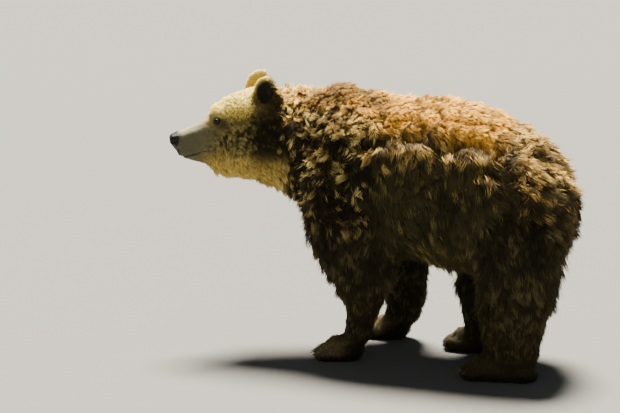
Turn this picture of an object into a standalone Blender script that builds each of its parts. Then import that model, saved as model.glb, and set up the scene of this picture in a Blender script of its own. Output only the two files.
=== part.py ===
"""A standing brown bear as a life-size still model, coat included.

The bear faces -Y with its left side towards +X, looks a little to its left, and stands on the
plane z = 0. The flesh is modelled whole from lofted and rounded masses, fused with a voxel
remesh, thinned, and then parted into named pieces with cuts of a third of a millimetre.
"""

import math
from collections import namedtuple

import bmesh
import bpy
import numpy as np
from mathutils import Matrix, Vector

# ---------------------------------------------------------------- driving dimensions, in metres
CUT = 0.0003  # width of every cut between neighbouring pieces
COARSE_VOXEL, FINE_VOXEL = 0.013, 0.006
FLESH_TRIANGLES = 4100
DETAIL_SHARE = 0.12  # how readily the head and paws are thinned, against 1 for the body

HEAD_YAW = math.radians(27)  # how far the head looks to the bear's left
HEAD_BASE = Vector((0.02, -0.16, 0.0))  # under the middle of the skull's base
SHORT_EDGE, SAME_SLOPE = 0.009, 0.94  # corners this near are merged where the slopes hold to this cosine
EAR_HALF_SPAN, EAR_RADII = 0.106, (0.062, 0.028, 0.068)
EAR_AHEAD = {1: 0.028, -1: 0.044}  # the right ear is pricked a little further ahead than the left
EAR_SWING = 58  # how far the hollow of an ear is turned out from straight ahead, in degrees
EYE_RADIUS = 0.0125
EYE_SPOT = (0.2160, 0.0630, 0.9385)  # ahead of the skull's base, aside, above the ground
NOSTRIL_SPOT, NOSTRIL_RADII = (0.392, 0.0155, 0.853), (0.0062, 0.012, 0.0075)
JAW_OUTLINE = (  # ahead and height, round the lower jaw as seen from the side
    (0.45, 0.792), (0.355, 0.797), (0.325, 0.801), (0.297, 0.808), (0.272, 0.818),
    (0.245, 0.821), (0.222, 0.811), (0.200, 0.785), (0.195, 0.600), (0.45, 0.600),
)
NOSE_OUTLINE = (
    (0.45, 0.920), (0.376, 0.920), (0.362, 0.868), (0.352, 0.848), (0.356, 0.828),
    (0.372, 0.822), (0.45, 0.805),
)

SOLE = 0.016  # the level of all four soles
KNEE, ANKLE = 6, 2  # the leg sections that the knee's and the ankle's cuts are centred on
KNEE_CUT = {"fore": (0.330, 14), "hind": (0.315, 8)}  # height, and degrees of tilt up to the back
ANKLE_CUT = (0.118, 5)
CLAW_LENGTHS = {"fore": 0.042, "hind": 0.028}
CLAW_ROOT = 0.0062
TOES = 5

SIDES = {"left": 1, "right": -1}

# Colour, roughness and the pieces that wear them; the last one takes all the others.
SURFACES = {
    "eyes": ((0.012, 0.008, 0.006), 0.08, ("eye",)),
    "nose_leather": ((0.015, 0.014, 0.014), 0.45, ("nose",)),
    "claw_horn": ((0.200, 0.160, 0.110), 0.40, ("claw",)),
    "pale_fur": ((0.430, 0.300, 0.150), 0.90, ("head", "jaw", "ear")),
    "dark_fur": ((0.070, 0.040, 0.020), 0.90, ("forepaw", "hindpaw", "foreleg", "hindleg")),
    "brown_fur": ((0.190, 0.100, 0.042), 0.90, ("",)),
}

# ---------------------------------------------------------------- sections of the masses
# A trunk section stands across Y; its widest point lies at the height "widest".
Trunk = namedtuple("Trunk", "y top bottom half_width widest")
TRUNK = (
    Trunk(-0.030, 0.990, 0.625, 0.120, 0.80),
    Trunk(0.010, 1.045, 0.545, 0.185, 0.76),
    Trunk(0.100, 1.078, 0.470, 0.240, 0.72),
    Trunk(0.200, 1.078, 0.440, 0.266, 0.70),
    Trunk(0.330, 1.062, 0.432, 0.278, 0.70),
    Trunk(0.480, 1.064, 0.415, 0.285, 0.69),
    Trunk(0.620, 1.054, 0.385, 0.288, 0.68),
    Trunk(0.740, 1.026, 0.388, 0.284, 0.69),
    Trunk(0.850, 0.970, 0.410, 0.270, 0.69),
    Trunk(0.950, 0.895, 0.430, 0.238, 0.67),
    Trunk(1.030, 0.826, 0.470, 0.190, 0.65),
    Trunk(1.080, 0.750, 0.520, 0.120, 0.63),
)

# A neck section faces along the heading "yaw" and is centred on (x, y).
Neck = namedtuple("Neck", "x y yaw top bottom half_width widest")
NECK = (
    Neck(0.000, 0.120, 0, 1.070, 0.480, 0.200, 0.80),
    Neck(0.002, 0.020, 3, 1.066, 0.570, 0.200, 0.84),
    Neck(0.008, -0.060, 10, 1.070, 0.620, 0.190, 0.86),
    Neck(0.025, -0.140, 20, 1.068, 0.655, 0.175, 0.87),
    Neck(0.060, -0.225, 27, 1.064, 0.690, 0.158, 0.88),
)

# A head section stands across the head's heading, "ahead" of the skull's base.
Head = namedtuple("Head", "ahead top bottom half_width widest square")
HEAD = (
    Head(0.000, 1.070, 0.692, 0.150, 0.870, 2.0),
    Head(0.060, 1.066, 0.696, 0.152, 0.865, 2.1),
    Head(0.110, 1.054, 0.700, 0.142, 0.860, 2.1),
    Head(0.160, 1.036, 0.703, 0.116, 0.858, 2.1),
    Head(0.200, 1.014, 0.707, 0.090, 0.860, 2.1),
    Head(0.235, 0.978, 0.726, 0.068, 0.860, 2.2),
    Head(0.265, 0.942, 0.754, 0.057, 0.854, 2.4),
    Head(0.300, 0.921, 0.770, 0.051, 0.848, 2.6),
    Head(0.335, 0.905, 0.783, 0.047, 0.844, 2.7),
    Head(0.365, 0.894, 0.797, 0.041, 0.845, 2.6),
    Head(0.386, 0.886, 0.826, 0.033, 0.856, 2.4),
    Head(0.402, 0.878, 0.846, 0.020, 0.862, 2.2),
)

# A leg section lies level; "front" and "back" are its ends along Y.
Leg = namedtuple("Leg", "z x front back half_width")
LEGS = {
    "fore_left": (
        Leg(0.030, 0.150, 0.150, 0.262, 0.052),
        Leg(0.080, 0.150, 0.168, 0.282, 0.056),
        Leg(0.120, 0.152, 0.190, 0.303, 0.058),
        Leg(0.180, 0.155, 0.206, 0.325, 0.062),
        Leg(0.240, 0.158, 0.204, 0.348, 0.069),
        Leg(0.310, 0.162, 0.162, 0.380, 0.086),
        Leg(0.400, 0.165, 0.098, 0.412, 0.104),
        Leg(0.500, 0.165, 0.050, 0.420, 0.118),
        Leg(0.620, 0.155, 0.018, 0.410, 0.122),
        Leg(0.760, 0.120, 0.030, 0.370, 0.115),
        Leg(0.880, 0.075, 0.080, 0.300, 0.085),
    ),
    "fore_right": (
        Leg(0.030, -0.200, 0.225, 0.335, 0.052),
        Leg(0.080, -0.198, 0.242, 0.372, 0.057),
        Leg(0.120, -0.196, 0.256, 0.402, 0.061),
        Leg(0.180, -0.192, 0.255, 0.424, 0.066),
        Leg(0.240, -0.188, 0.240, 0.434, 0.074),
        Leg(0.310, -0.182, 0.205, 0.438, 0.088),
        Leg(0.400, -0.176, 0.130, 0.440, 0.104),
        Leg(0.500, -0.168, 0.062, 0.425, 0.118),
        Leg(0.620, -0.155, 0.020, 0.410, 0.122),
        Leg(0.760, -0.120, 0.030, 0.370, 0.115),
        Leg(0.880, -0.075, 0.080, 0.300, 0.085),
    ),
    "hind_left": (
        Leg(0.030, 0.185, 0.830, 0.955, 0.056),
        Leg(0.070, 0.185, 0.795, 0.970, 0.062),
        Leg(0.120, 0.184, 0.768, 0.982, 0.070),
        Leg(0.200, 0.182, 0.750, 0.998, 0.082),
        Leg(0.300, 0.180, 0.736, 1.024, 0.100),
        Leg(0.400, 0.178, 0.716, 1.060, 0.116),
        Leg(0.500, 0.170, 0.696, 1.092, 0.126),
        Leg(0.600, 0.154, 0.685, 1.075, 0.126),
        Leg(0.720, 0.125, 0.690, 1.015, 0.115),
        Leg(0.830, 0.085, 0.720, 0.930, 0.085),
    ),
    "hind_right": (
        Leg(0.030, -0.120, 0.672, 0.812, 0.056),
        Leg(0.070, -0.121, 0.640, 0.838, 0.062),
        Leg(0.120, -0.123, 0.608, 0.852, 0.068),
        Leg(0.200, -0.128, 0.590, 0.868, 0.078),
        Leg(0.300, -0.136, 0.566, 0.900, 0.094),
        Leg(0.400, -0.144, 0.580, 0.970, 0.110),
        Leg(0.500, -0.148, 0.610, 1.030, 0.122),
        Leg(0.600, -0.144, 0.640, 1.050, 0.124),
        Leg(0.720, -0.122, 0.680, 1.005, 0.115),
        Leg(0.830, -0.085, 0.720, 0.930, 0.085),
    ),
}

# A paw lies on its sole from "toe" back to "heel"; "turn" swings its toes outwards, in degrees.
Paw = namedtuple("Paw", "x toe heel half_width turn high")
PAWS = {
    "fore_left": Paw(0.150, 0.082, 0.268, 0.066, 4, 0.100),
    "fore_right": Paw(-0.200, 0.165, 0.350, 0.066, 4, 0.100),
    "hind_left": Paw(0.185, 0.688, 0.985, 0.066, 6, 0.105),
    "hind_right": Paw(-0.120, 0.524, 0.825, 0.066, 6, 0.105),
}

# A hip bounds the sleeve that parts a leg from the trunk: its ends along Y, and where its dome stops.
Hip = namedtuple("Hip", "x front back half_width top")
HIPS = {
    "fore_left": Hip(0.190, -0.030, 0.450, 0.150, 0.660),
    "fore_right": Hip(-0.190, -0.030, 0.475, 0.150, 0.660),
    "hind_left": Hip(0.190, 0.665, 1.150, 0.160, 0.700),
    "hind_right": Hip(-0.155, 0.540, 1.130, 0.158, 0.700),
}


# ---------------------------------------------------------------- building blocks
def mesh_object(name, bm, collection):
    mesh = bpy.data.meshes.new(name)
    bmesh.ops.recalc_face_normals(bm, faces=bm.faces)
    bm.to_mesh(mesh)
    bm.free()
    obj = bpy.data.objects.new(name, mesh)
    collection.objects.link(obj)
    return obj


def between(sections, count):
    """Sections along a Catmull-Rom curve through the given ones, as rows of numbers."""
    rows = np.array(sections, float)
    rows = np.vstack([2 * rows[0] - rows[1], rows, 2 * rows[-1] - rows[-2]])
    out = []
    for place in np.linspace(0, len(rows) - 3, count):
        i = min(int(place), len(rows) - 4)
        t = place - i
        a, b, c, d = rows[i : i + 4]
        out.append(0.5 * (2 * b + (c - a) * t + (2 * a - 5 * b + 4 * c - d) * t**2
                          + (3 * b - a - 3 * c + d) * t**3))
    return np.array(out)


def ring(centre, side, up, half_width, above, below, square=2.0, points=32):
    """A closed cross-section: two half superellipses that meet at the widest line."""
    out = []
    for i in range(points):
        angle = 2 * math.pi * i / points
        c, s = math.cos(angle), math.sin(angle)
        across = half_width * math.copysign(abs(c) ** (2 / square), c)
        height = (above if s > 0 else below) * math.copysign(abs(s) ** (2 / square), s)
        out.append(centre + side * across + up * height)
    return out


def loft(name, rings, collection):
    """A closed skin over the rings, each end shut by a fan."""
    bm = bmesh.new()
    rows = [[bm.verts.new(p) for p in points] for points in rings]
    for low, high in zip(rows, rows[1:]):
        for i in range(len(low)):
            j = (i + 1) % len(low)
            bm.faces.new((low[i], low[j], high[j], high[i]))
    for row in (rows[0], rows[-1]):
        hub = bm.verts.new(sum((v.co for v in row), Vector()) / len(row))
        for i in range(len(row)):
            bm.faces.new((row[i], row[(i + 1) % len(row)], hub))
    bmesh.ops.triangulate(bm, faces=bm.faces, quad_method="FIXED")
    return mesh_object(name, bm, collection)


def ball(name, centre, radii, collection, turn=None, rings=14):
    """An ellipsoid with its three radii, turned about its own centre."""
    bm = bmesh.new()
    place = Matrix.Translation(centre) @ (turn or Matrix.Identity(4)) @ Matrix.Diagonal((*radii, 1))
    bmesh.ops.create_uvsphere(bm, u_segments=2 * rings, v_segments=rings, radius=1, matrix=place)
    return mesh_object(name, bm, collection)


def box(name, low, high, frame, collection):
    """A box between two corners given in its own frame."""
    bm = bmesh.new()
    low, high = Vector(low), Vector(high)
    place = frame @ Matrix.Translation((low + high) / 2) @ Matrix.Diagonal((*(high - low), 1))
    bmesh.ops.create_cube(bm, size=1, matrix=place)
    return mesh_object(name, bm, collection)


def grown(outline, by):
    """A closed outline with every edge moved outwards, its corners mitred."""
    points = [Vector(p) for p in outline]
    turn = sum(a.cross(b) for a, b in zip(points, points[1:] + points[:1]))
    sign = math.copysign(1, turn)
    out = []
    for i, point in enumerate(points):
        before = (point - points[i - 1]).normalized()
        after = (points[(i + 1) % len(points)] - point).normalized()
        normal = Vector((before.y + after.y, -before.x - after.x)) * sign
        out.append(point + normal * (2 * by / normal.length_squared))
    return out


def prism(name, outline, half_width, collection):
    """An outline in the head's own side plane, drawn out to both sides of it."""
    bm = bmesh.new()
    faces = []
    for aside in (-half_width, half_width):
        faces.append([bm.verts.new(on_head(p[0], aside, p[1])) for p in outline])
        bm.faces.new(faces[-1])
    for i in range(len(outline)):
        j = (i + 1) % len(outline)
        bm.faces.new((faces[0][i], faces[0][j], faces[1][j], faces[1][i]))
    return mesh_object(name, bm, collection)


def settle(obj):
    """Replaces an object's mesh by its evaluated one and drops its modifiers."""
    graph = bpy.context.evaluated_depsgraph_get()
    mesh = bpy.data.meshes.new_from_object(obj.evaluated_get(graph))
    mesh.name = obj.name
    obj.modifiers.clear()
    old, obj.data = obj.data, mesh
    bpy.data.meshes.remove(old)
    return obj


def fuse(name, masses, voxel, smoothings, collection):
    """Joins overlapping closed masses into one smooth closed skin."""
    bm = bmesh.new()
    for mass in masses:
        bm.from_mesh(mass.data)
        bpy.data.objects.remove(mass)
    obj = mesh_object(name, bm, collection)
    remesh = obj.modifiers.new("fuse", "REMESH")
    remesh.mode = "VOXEL"
    remesh.voxel_size = voxel
    smooth = obj.modifiers.new("smooth", "SMOOTH")
    smooth.factor = 0.5
    smooth.iterations = smoothings
    return settle(obj)


def boolean(obj, other, operation):
    modifier = obj.modifiers.new(operation.lower(), "BOOLEAN")
    modifier.operation = operation
    modifier.solver = "EXACT"
    modifier.object = other
    return settle(obj)


def part_off(whole, name, keep, drop):
    """Takes what lies in "keep" off the whole as a piece; the whole loses the slightly wider "drop"."""
    piece = bpy.data.objects.new(name, whole.data.copy())
    whole.users_collection[0].objects.link(piece)
    boolean(piece, keep, "INTERSECT")
    boolean(whole, drop, "DIFFERENCE")
    bpy.data.objects.remove(keep)
    bpy.data.objects.remove(drop)
    return piece


def neighbours(vertex):
    return {edge.other_vert(vertex) for edge in vertex.link_edges}


def keeps_shape(drop, keep):
    """Whether the faces round "drop" would keep their slopes with that corner moved onto "keep"."""
    for face in drop.link_faces:
        if keep in face.verts:
            continue
        a, b, c = (keep.co if v is drop else v.co for v in face.verts)
        normal = (b - a).cross(c - a)
        if normal.length < 1e-9 or normal.normalized().dot(face.normal) < SAME_SLOPE:
            return False
    return True


def merge_short(obj):
    """Draws the crowded corners along a piece's flat cuts together; each stays on its own side."""
    bm = bmesh.new()
    bm.from_mesh(obj.data)
    bmesh.ops.triangulate(bm, faces=bm.faces)
    for _ in range(4):
        bm.normal_update()
        busy, onto = set(), {}
        for edge in sorted(bm.edges, key=lambda e: e.calc_length()):
            if edge.calc_length() > SHORT_EDGE:
                break
            for drop, keep in (edge.verts, reversed(edge.verts)):
                around = neighbours(drop) | neighbours(keep)
                if len(neighbours(drop) & neighbours(keep)) == 2 and not around & busy:
                    if keeps_shape(drop, keep):
                        onto[drop] = keep
                        busy |= around
                        break
        if not onto:
            break
        bmesh.ops.weld_verts(bm, targetmap=onto)
    bm.to_mesh(obj.data)
    bm.free()


# ---------------------------------------------------------------- the head's own frame
FORWARD = Vector((math.sin(HEAD_YAW), -math.cos(HEAD_YAW), 0))
ASIDE = Vector((math.cos(HEAD_YAW), math.sin(HEAD_YAW), 0))
UP = Vector((0, 0, 1))
ACROSS, ALONG = Vector((1, 0, 0)), Vector((0, 1, 0))


def on_head(ahead, aside, height):
    return HEAD_BASE + FORWARD * ahead + ASIDE * aside + UP * height


def head_turn(pitch=0.0, roll=0.0, swing=0.0):
    """The head's axes: X to its left, Y to its back, Z up. Pitch tips the nose down, in degrees."""
    spin = Matrix.Rotation(HEAD_YAW + math.radians(swing), 4, "Z")
    tip = Matrix.Rotation(math.radians(pitch), 4, "X")
    return spin @ tip @ Matrix.Rotation(math.radians(roll), 4, "Y")


def ear_frame(side):
    """The middle of an ear, its hollow facing the ear's own -Y: ahead and outwards."""
    centre = on_head(EAR_AHEAD[side], EAR_HALF_SPAN * side, 1.057)
    return Matrix.Translation(centre) @ head_turn(pitch=-8, roll=14 * side, swing=EAR_SWING * side)


# ---------------------------------------------------------------- flesh
def trunk_mass(work):
    rings = [
        ring(Vector((0, y, widest)), ACROSS, UP, half, top - widest, widest - bottom, 2.05)
        for y, top, bottom, half, widest in between(TRUNK, 40)
    ]
    return loft("trunk_mass", rings, work)


def neck_mass(work):
    rings = []
    for x, y, yaw, top, bottom, half, widest in between(NECK, 24):
        side = Vector((math.cos(math.radians(yaw)), math.sin(math.radians(yaw)), 0))
        rings.append(ring(Vector((x, y, widest)), side, UP, half, top - widest, widest - bottom, 2.1))
    return loft("neck_mass", rings, work)


def head_mass(work):
    rings = [
        ring(on_head(ahead, 0, widest), ASIDE, UP, half, top - widest, widest - bottom, square)
        for ahead, top, bottom, half, widest, square in between(HEAD, 48)
    ]
    return loft("head_mass", rings, work)


def leg_mass(name, work):
    rings = []
    for z, x, front, back, half in between(LEGS[name], 36):
        reach = (back - front) / 2
        rings.append(ring(Vector((x, front + reach, z)), ACROSS, ALONG, half, reach, reach, 2.2))
    return loft(name + "_mass", rings, work)


def body_masses(work):
    """The broad muscle and coat masses that round the body off."""
    out = [trunk_mass(work), neck_mass(work)]
    out.append(ball("hump", (0, 0.155, 0.985), (0.120, 0.150, 0.112), work))
    for side in SIDES.values():
        out.append(ball("shoulder", (0.125 * side, 0.150, 0.720), (0.150, 0.150, 0.230), work))
        out.append(ball("haunch", (0.112 * side, 0.860, 0.640), (0.160, 0.175, 0.240), work))
    return out


def face_masses(work):
    """Cheeks, brows, lips and the nose's wings, both sides of the head."""
    out = [head_mass(work)]
    for side in SIDES.values():
        cheek = on_head(0.090, 0.082 * side, 0.826)
        out.append(ball("cheek", cheek, (0.068, 0.100, 0.114), work, head_turn(swing=8 * side)))
        brow = on_head(0.205, 0.037 * side, 0.974)
        out.append(ball("brow", brow, (0.032, 0.046, 0.022), work, head_turn(pitch=30, roll=18 * side)))
        lip = on_head(0.320, 0.023 * side, 0.826)
        out.append(ball("lip", lip, (0.029, 0.060, 0.034), work, head_turn(pitch=16, swing=4 * side)))
        wing = on_head(0.380, 0.014 * side, 0.862)
        out.append(ball("wing", wing, (0.020, 0.026, 0.022), work, head_turn()))
    return out


def ear_mass(side, work):
    """A thick round ear, dished towards the front and outside."""
    frame = ear_frame(side)
    ear = ball("ear_mass", frame.translation, EAR_RADII, work, frame.to_3x3().to_4x4())
    dish = frame @ Vector((0, -0.030, 0.006))
    hollow = ball("ear_hollow", dish, (0.040, 0.026, 0.050), work, frame.to_3x3().to_4x4())
    boolean(ear, hollow, "DIFFERENCE")
    bpy.data.objects.remove(hollow)
    return ear


def paw_frame(name):
    """A paw's own frame: X across it, Y back from its foremost toe, Z up from its sole."""
    paw = PAWS[name]
    side = SIDES[name.split("_")[1]]
    swing = Matrix.Rotation(math.radians(paw.turn) * side, 4, "Z")
    toe = Matrix.Translation((0, paw.toe - paw.heel, 0))
    return Matrix.Translation((paw.x, paw.heel, SOLE)) @ swing @ toe


def toe_spots(paw):
    """Across and back from the foremost toe, for each toe: the middle one leads."""
    spots = []
    for i in range(TOES):
        across = 2 * i / (TOES - 1) - 1
        spots.append((across * (paw.half_width - 0.014), 0.036 + 0.020 * across**2))
    return spots


def paw_masses(name, work):
    paw, frame = PAWS[name], paw_frame(name)
    turn = frame.to_3x3().to_4x4()
    length, width = paw.heel - paw.toe, paw.half_width

    def add(label, y, z, radii, x=0.0, rings=14):
        out.append(ball(label, frame @ Vector((x, y, z)), radii, work, turn, rings))

    out = []
    add("pad", 0.090, 0.030, (width, 0.062, 0.042))
    add("instep", 0.120, 0.050, (0.8 * width, 0.080, paw.high / 2))
    add("heel", length - 0.062, 0.032, (0.80 * width, 0.062, 0.044))
    if length > 0.25:
        add("arch", length / 2, 0.028, (0.86 * width, length / 2 - 0.03, 0.045))
    for across, behind in toe_spots(paw):
        add("toe", behind, 0.026, (0.0165, 0.036, 0.028), across, 10)
    return out


def tail_mass(work):
    lean = Matrix.Rotation(math.radians(-8), 4, "X")
    return ball("tail_mass", (0, 1.076, 0.655), (0.036, 0.032, 0.078), work, lean)


def thin(flesh):
    """Thins the skin to its triangle budget, sparing the head and the paws."""
    spare = flesh.vertex_groups.new(name="spare")
    for vertex in flesh.data.vertices:
        ahead = (vertex.co - HEAD_BASE).dot(FORWARD)
        detail = ahead > 0.0 or vertex.co.z < SOLE + 0.10
        spare.add([vertex.index], DETAIL_SHARE if detail else 1.0, "REPLACE")
    collapse = flesh.modifiers.new("thin", "DECIMATE")
    collapse.ratio = FLESH_TRIANGLES / (2 * len(flesh.data.polygons))
    collapse.vertex_group = "spare"
    collapse.vertex_group_factor = 0.001
    settle(flesh)
    flesh.vertex_groups.clear()
    return flesh


def whole_flesh(work, bear):
    """The bear's outline in one closed skin, coarse masses blended wide and fine ones kept crisp."""
    broad = body_masses(work) + [leg_mass(name, work) for name in LEGS]
    torso = fuse("torso", broad, COARSE_VOXEL, 9, work)
    fine = [torso, tail_mass(work)] + face_masses(work)
    for name in PAWS:
        fine += paw_masses(name, work)
    for side in SIDES.values():
        fine.append(ear_mass(side, work))
    flesh = thin(fuse("trunk", fine, FINE_VOXEL, 4, bear))
    ground = box("ground", (-1, -1, -1), (1, 2, SOLE), Matrix.Identity(4), work)
    boolean(flesh, ground, "DIFFERENCE")
    bpy.data.objects.remove(ground)
    return flesh


# ---------------------------------------------------------------- parting the flesh
def slab(name, low, high, frame, work):
    """The same box twice, the second wider by one cut on every side."""
    gap = Vector((CUT, CUT, CUT))
    return (
        box(name + "_keep", low, high, frame, work),
        box(name + "_drop", Vector(low) - gap, Vector(high) + gap, frame, work),
    )


def leg_cutter(name, grow, work):
    """A rounded sleeve round a whole leg and paw, domed over inside the shoulder or the haunch."""
    hip = HIPS[name]
    toes = min(hip.front, PAWS[name].toe - 0.09)
    rings = []
    sleeve = [(-0.05, 1), (0.16, 1), (0.34, 1)]
    sleeve += [(share * hip.top, dome) for share, dome in ((0.60, 1), (0.84, 0.8), (0.96, 0.44))]
    for z, dome in sleeve:
        front = toes if z < 0.2 else hip.front
        reach = (hip.back - front) / 2 * (0.25 + 0.75 * dome) + grow
        centre = Vector((hip.x, (front + hip.back) / 2, z + (grow if dome < 1 else 0)))
        rings.append(ring(centre, ACROSS, ALONG, hip.half_width * dome + grow, reach, reach, 2.6, 12))
    return loft(name + "_cutter", rings, work)


def part_head(flesh, work):
    head_frame = Matrix.Translation(HEAD_BASE) @ head_turn()
    head = part_off(flesh, "head", *slab("head", (-0.4, -0.6, 0.4), (0.4, -0.006, 1.4), head_frame, work))
    for label, side in SIDES.items():
        low, high = (-0.066, -0.045, -0.028), (0.066, 0.045, 0.12)
        merge_short(part_off(head, "ear_" + label, *slab("ear", low, high, ear_frame(side), work)))
    merge_short(head)
    nose = part_off(
        head,
        "nose",
        prism("nose_keep", NOSE_OUTLINE, 0.1, work),
        prism("nose_drop", grown(NOSE_OUTLINE, CUT), 0.1 + CUT, work),
    )
    ahead, aside, height = NOSTRIL_SPOT
    for side in SIDES.values():
        spot = on_head(ahead, aside * side, height)
        nostril = ball("nostril", spot, NOSTRIL_RADII, work, head_turn(pitch=-20, swing=24 * side), 4)
        boolean(nose, nostril, "DIFFERENCE")
        bpy.data.objects.remove(nostril)
    part_off(
        head,
        "jaw",
        prism("jaw_keep", JAW_OUTLINE, 0.2, work),
        prism("jaw_drop", grown(JAW_OUTLINE, CUT), 0.2 + CUT, work),
    )
    ahead, aside, height = EYE_SPOT
    for label, side in SIDES.items():
        spot = on_head(ahead, aside * side, height)
        socket = ball("socket", spot, (EYE_RADIUS + CUT,) * 3, work, head_turn(), 6)
        boolean(head, socket, "DIFFERENCE")
        bpy.data.objects.remove(socket)
        ball("eye_" + label, spot, (EYE_RADIUS,) * 3, flesh.users_collection[0], head_turn(), 6)


def claw_ring(frame, along, drop, radius):
    centre = frame @ Vector((0, -along, -drop))
    return [
        centre + frame.to_3x3() @ Vector((0.8 * radius * math.cos(a), 0, radius * math.sin(a)))
        for a in (2 * math.pi * i / 5 for i in range(5))
    ]


def claw(name, frame, length, grow, collection):
    """A curved horn that narrows to a blunt point and bends towards the ground."""
    rings = []
    for share in (0.0, 0.5, 1.0):
        radius = CLAW_ROOT * (1 - 0.84 * share**1.3) + grow
        along = length * share + (grow if share == 1.0 else -grow if share == 0.0 else 0)
        rings.append(claw_ring(frame, along, 0.36 * length * share**2, radius))
    return loft(name, rings, collection)


def leg_plane(section, level, bend):
    """A plane across a leg below the middle of a section, its back edge raised by "bend" degrees."""
    middle = (section.x, (section.front + section.back) / 2, level)
    return Matrix.Translation(middle) @ Matrix.Rotation(math.radians(bend), 4, "X")


def part_leg(flesh, name, work):
    kind, label = name.split("_")
    keep, drop = leg_cutter(name, 0, work), leg_cutter(name, CUT, work)
    leg = part_off(flesh, f"{kind}leg_{label}_upper", keep, drop)
    sections = LEGS[name]
    knee, ankle = sections[KNEE], sections[ANKLE]
    level, bend = KNEE_CUT[kind]
    frame = leg_plane(knee, level, bend)
    below = slab("knee", (-0.5, -0.6, -0.6), (0.5, 0.6, 0), frame, work)
    lower = part_off(leg, f"{kind}leg_{label}_lower", *below)
    frame = leg_plane(ankle, *ANKLE_CUT)
    below = slab("ankle", (-0.5, -0.4, -0.3), (0.5, 0.4, 0), frame, work)
    paw = part_off(lower, f"{kind}paw_{label}", *below)
    merge_short(lower)
    merge_short(paw)
    for i, (across, behind) in enumerate(toe_spots(PAWS[name]), 1):
        root = paw_frame(name) @ Matrix.Translation((across, behind - 0.018, 0.034))
        length = CLAW_LENGTHS[kind]
        hole = claw("claw_hole", root, length, CUT, work)
        boolean(paw, hole, "DIFFERENCE")
        bpy.data.objects.remove(hole)
        claw(f"claw_{name}_{i}", root, length, 0, paw.users_collection[0])


def part_all(flesh, work):
    part_head(flesh, work)
    tilt = Matrix.Translation((0, -0.030, 0.62)) @ Matrix.Rotation(math.radians(-11), 4, "X")
    merge_short(part_off(flesh, "neck", *slab("neck", (-0.5, -0.5, -0.3), (0.5, 0, 0.7), tilt, work)))
    frame = Matrix.Translation((0, 1.092, 0.655))
    behind = slab("tail", (-0.036, -0.02, -0.08), (0.036, 0.1, 0.08), frame, work)
    merge_short(part_off(flesh, "tail", *behind))
    for name in LEGS:
        part_leg(flesh, name, work)


def finish(bear):
    """Colours every piece and stands the bear with the middle of its bounding box over the origin."""
    for name, (colour, roughness, _) in SURFACES.items():
        material = bpy.data.materials.new(name)
        material.use_nodes = True
        shader = material.node_tree.nodes["Principled BSDF"]
        shader.inputs["Base Color"].default_value = (*colour, 1)
        shader.inputs["Roughness"].default_value = roughness
    for obj in bear.objects:
        name = next(n for n, s in SURFACES.items() if obj.name.startswith(s[2]))
        obj.data.materials.clear()
        obj.data.materials.append(bpy.data.materials[name])
    corners = np.array([v.co for obj in bear.objects for v in obj.data.vertices])
    low, high = corners.min(axis=0), corners.max(axis=0)
    shift = Matrix.Translation((-(low[0] + high[0]) / 2, -(low[1] + high[1]) / 2, -SOLE))
    for obj in bear.objects:
        obj.data.transform(shift)


def main():
    for obj in list(bpy.data.objects):
        bpy.data.objects.remove(obj)
    scene = bpy.context.scene.collection
    bear, work = (bpy.data.collections.new(name) for name in ("brown_bear", "cutters"))
    scene.children.link(bear)
    scene.children.link(work)
    flesh = whole_flesh(work, bear)
    part_all(flesh, work)
    finish(bear)


main()
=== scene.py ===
"""A brown bear, standing with its head turned a little to its left, laid out as a Blender add-on.

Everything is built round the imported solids, in metres, with the bear facing -Y. The solids give the outline
out to the tips of the coat, so the skin lies inside them by its depth and the locks reach back out.
"""

import math
from collections import namedtuple
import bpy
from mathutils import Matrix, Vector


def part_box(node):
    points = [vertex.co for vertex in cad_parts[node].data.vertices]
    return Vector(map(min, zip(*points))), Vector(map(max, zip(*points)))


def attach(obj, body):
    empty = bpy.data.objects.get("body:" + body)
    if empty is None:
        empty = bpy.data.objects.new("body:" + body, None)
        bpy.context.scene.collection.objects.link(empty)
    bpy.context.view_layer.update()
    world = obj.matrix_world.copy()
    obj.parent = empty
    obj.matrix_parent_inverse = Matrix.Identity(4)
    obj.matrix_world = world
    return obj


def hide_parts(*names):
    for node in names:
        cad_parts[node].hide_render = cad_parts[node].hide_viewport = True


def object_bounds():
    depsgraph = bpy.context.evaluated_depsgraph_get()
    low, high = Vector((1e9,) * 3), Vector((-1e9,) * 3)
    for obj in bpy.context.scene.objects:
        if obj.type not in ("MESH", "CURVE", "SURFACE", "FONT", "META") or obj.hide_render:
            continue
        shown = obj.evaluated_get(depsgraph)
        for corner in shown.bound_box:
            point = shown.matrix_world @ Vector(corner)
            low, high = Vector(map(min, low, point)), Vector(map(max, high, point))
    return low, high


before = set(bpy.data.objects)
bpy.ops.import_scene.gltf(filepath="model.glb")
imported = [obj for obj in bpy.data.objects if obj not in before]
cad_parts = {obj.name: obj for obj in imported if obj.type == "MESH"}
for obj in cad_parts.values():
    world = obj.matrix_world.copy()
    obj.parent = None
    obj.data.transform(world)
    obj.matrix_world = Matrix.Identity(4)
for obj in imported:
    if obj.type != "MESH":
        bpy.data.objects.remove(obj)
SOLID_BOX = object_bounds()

from types import SimpleNamespace

import bpy
import numpy as np
from bpy.props import FloatProperty, FloatVectorProperty, PointerProperty
from mathutils import Vector
from mathutils.kdtree import KDTree

bl_info = {
    "name": "Brown Bear",
    "version": (1, 0, 0),
    "blender": (4, 5, 0),
    "location": "View3D > Sidebar > Bear",
    "description": "Skin, coat, eyes, nose, claws and stage of a life-size brown bear",
    "category": "Object",
}

BODY = "root"
DOWN = np.array((0.0, 0.0, -1.0))
REAR = np.array((0.0, 1.0, 0.0))

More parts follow.
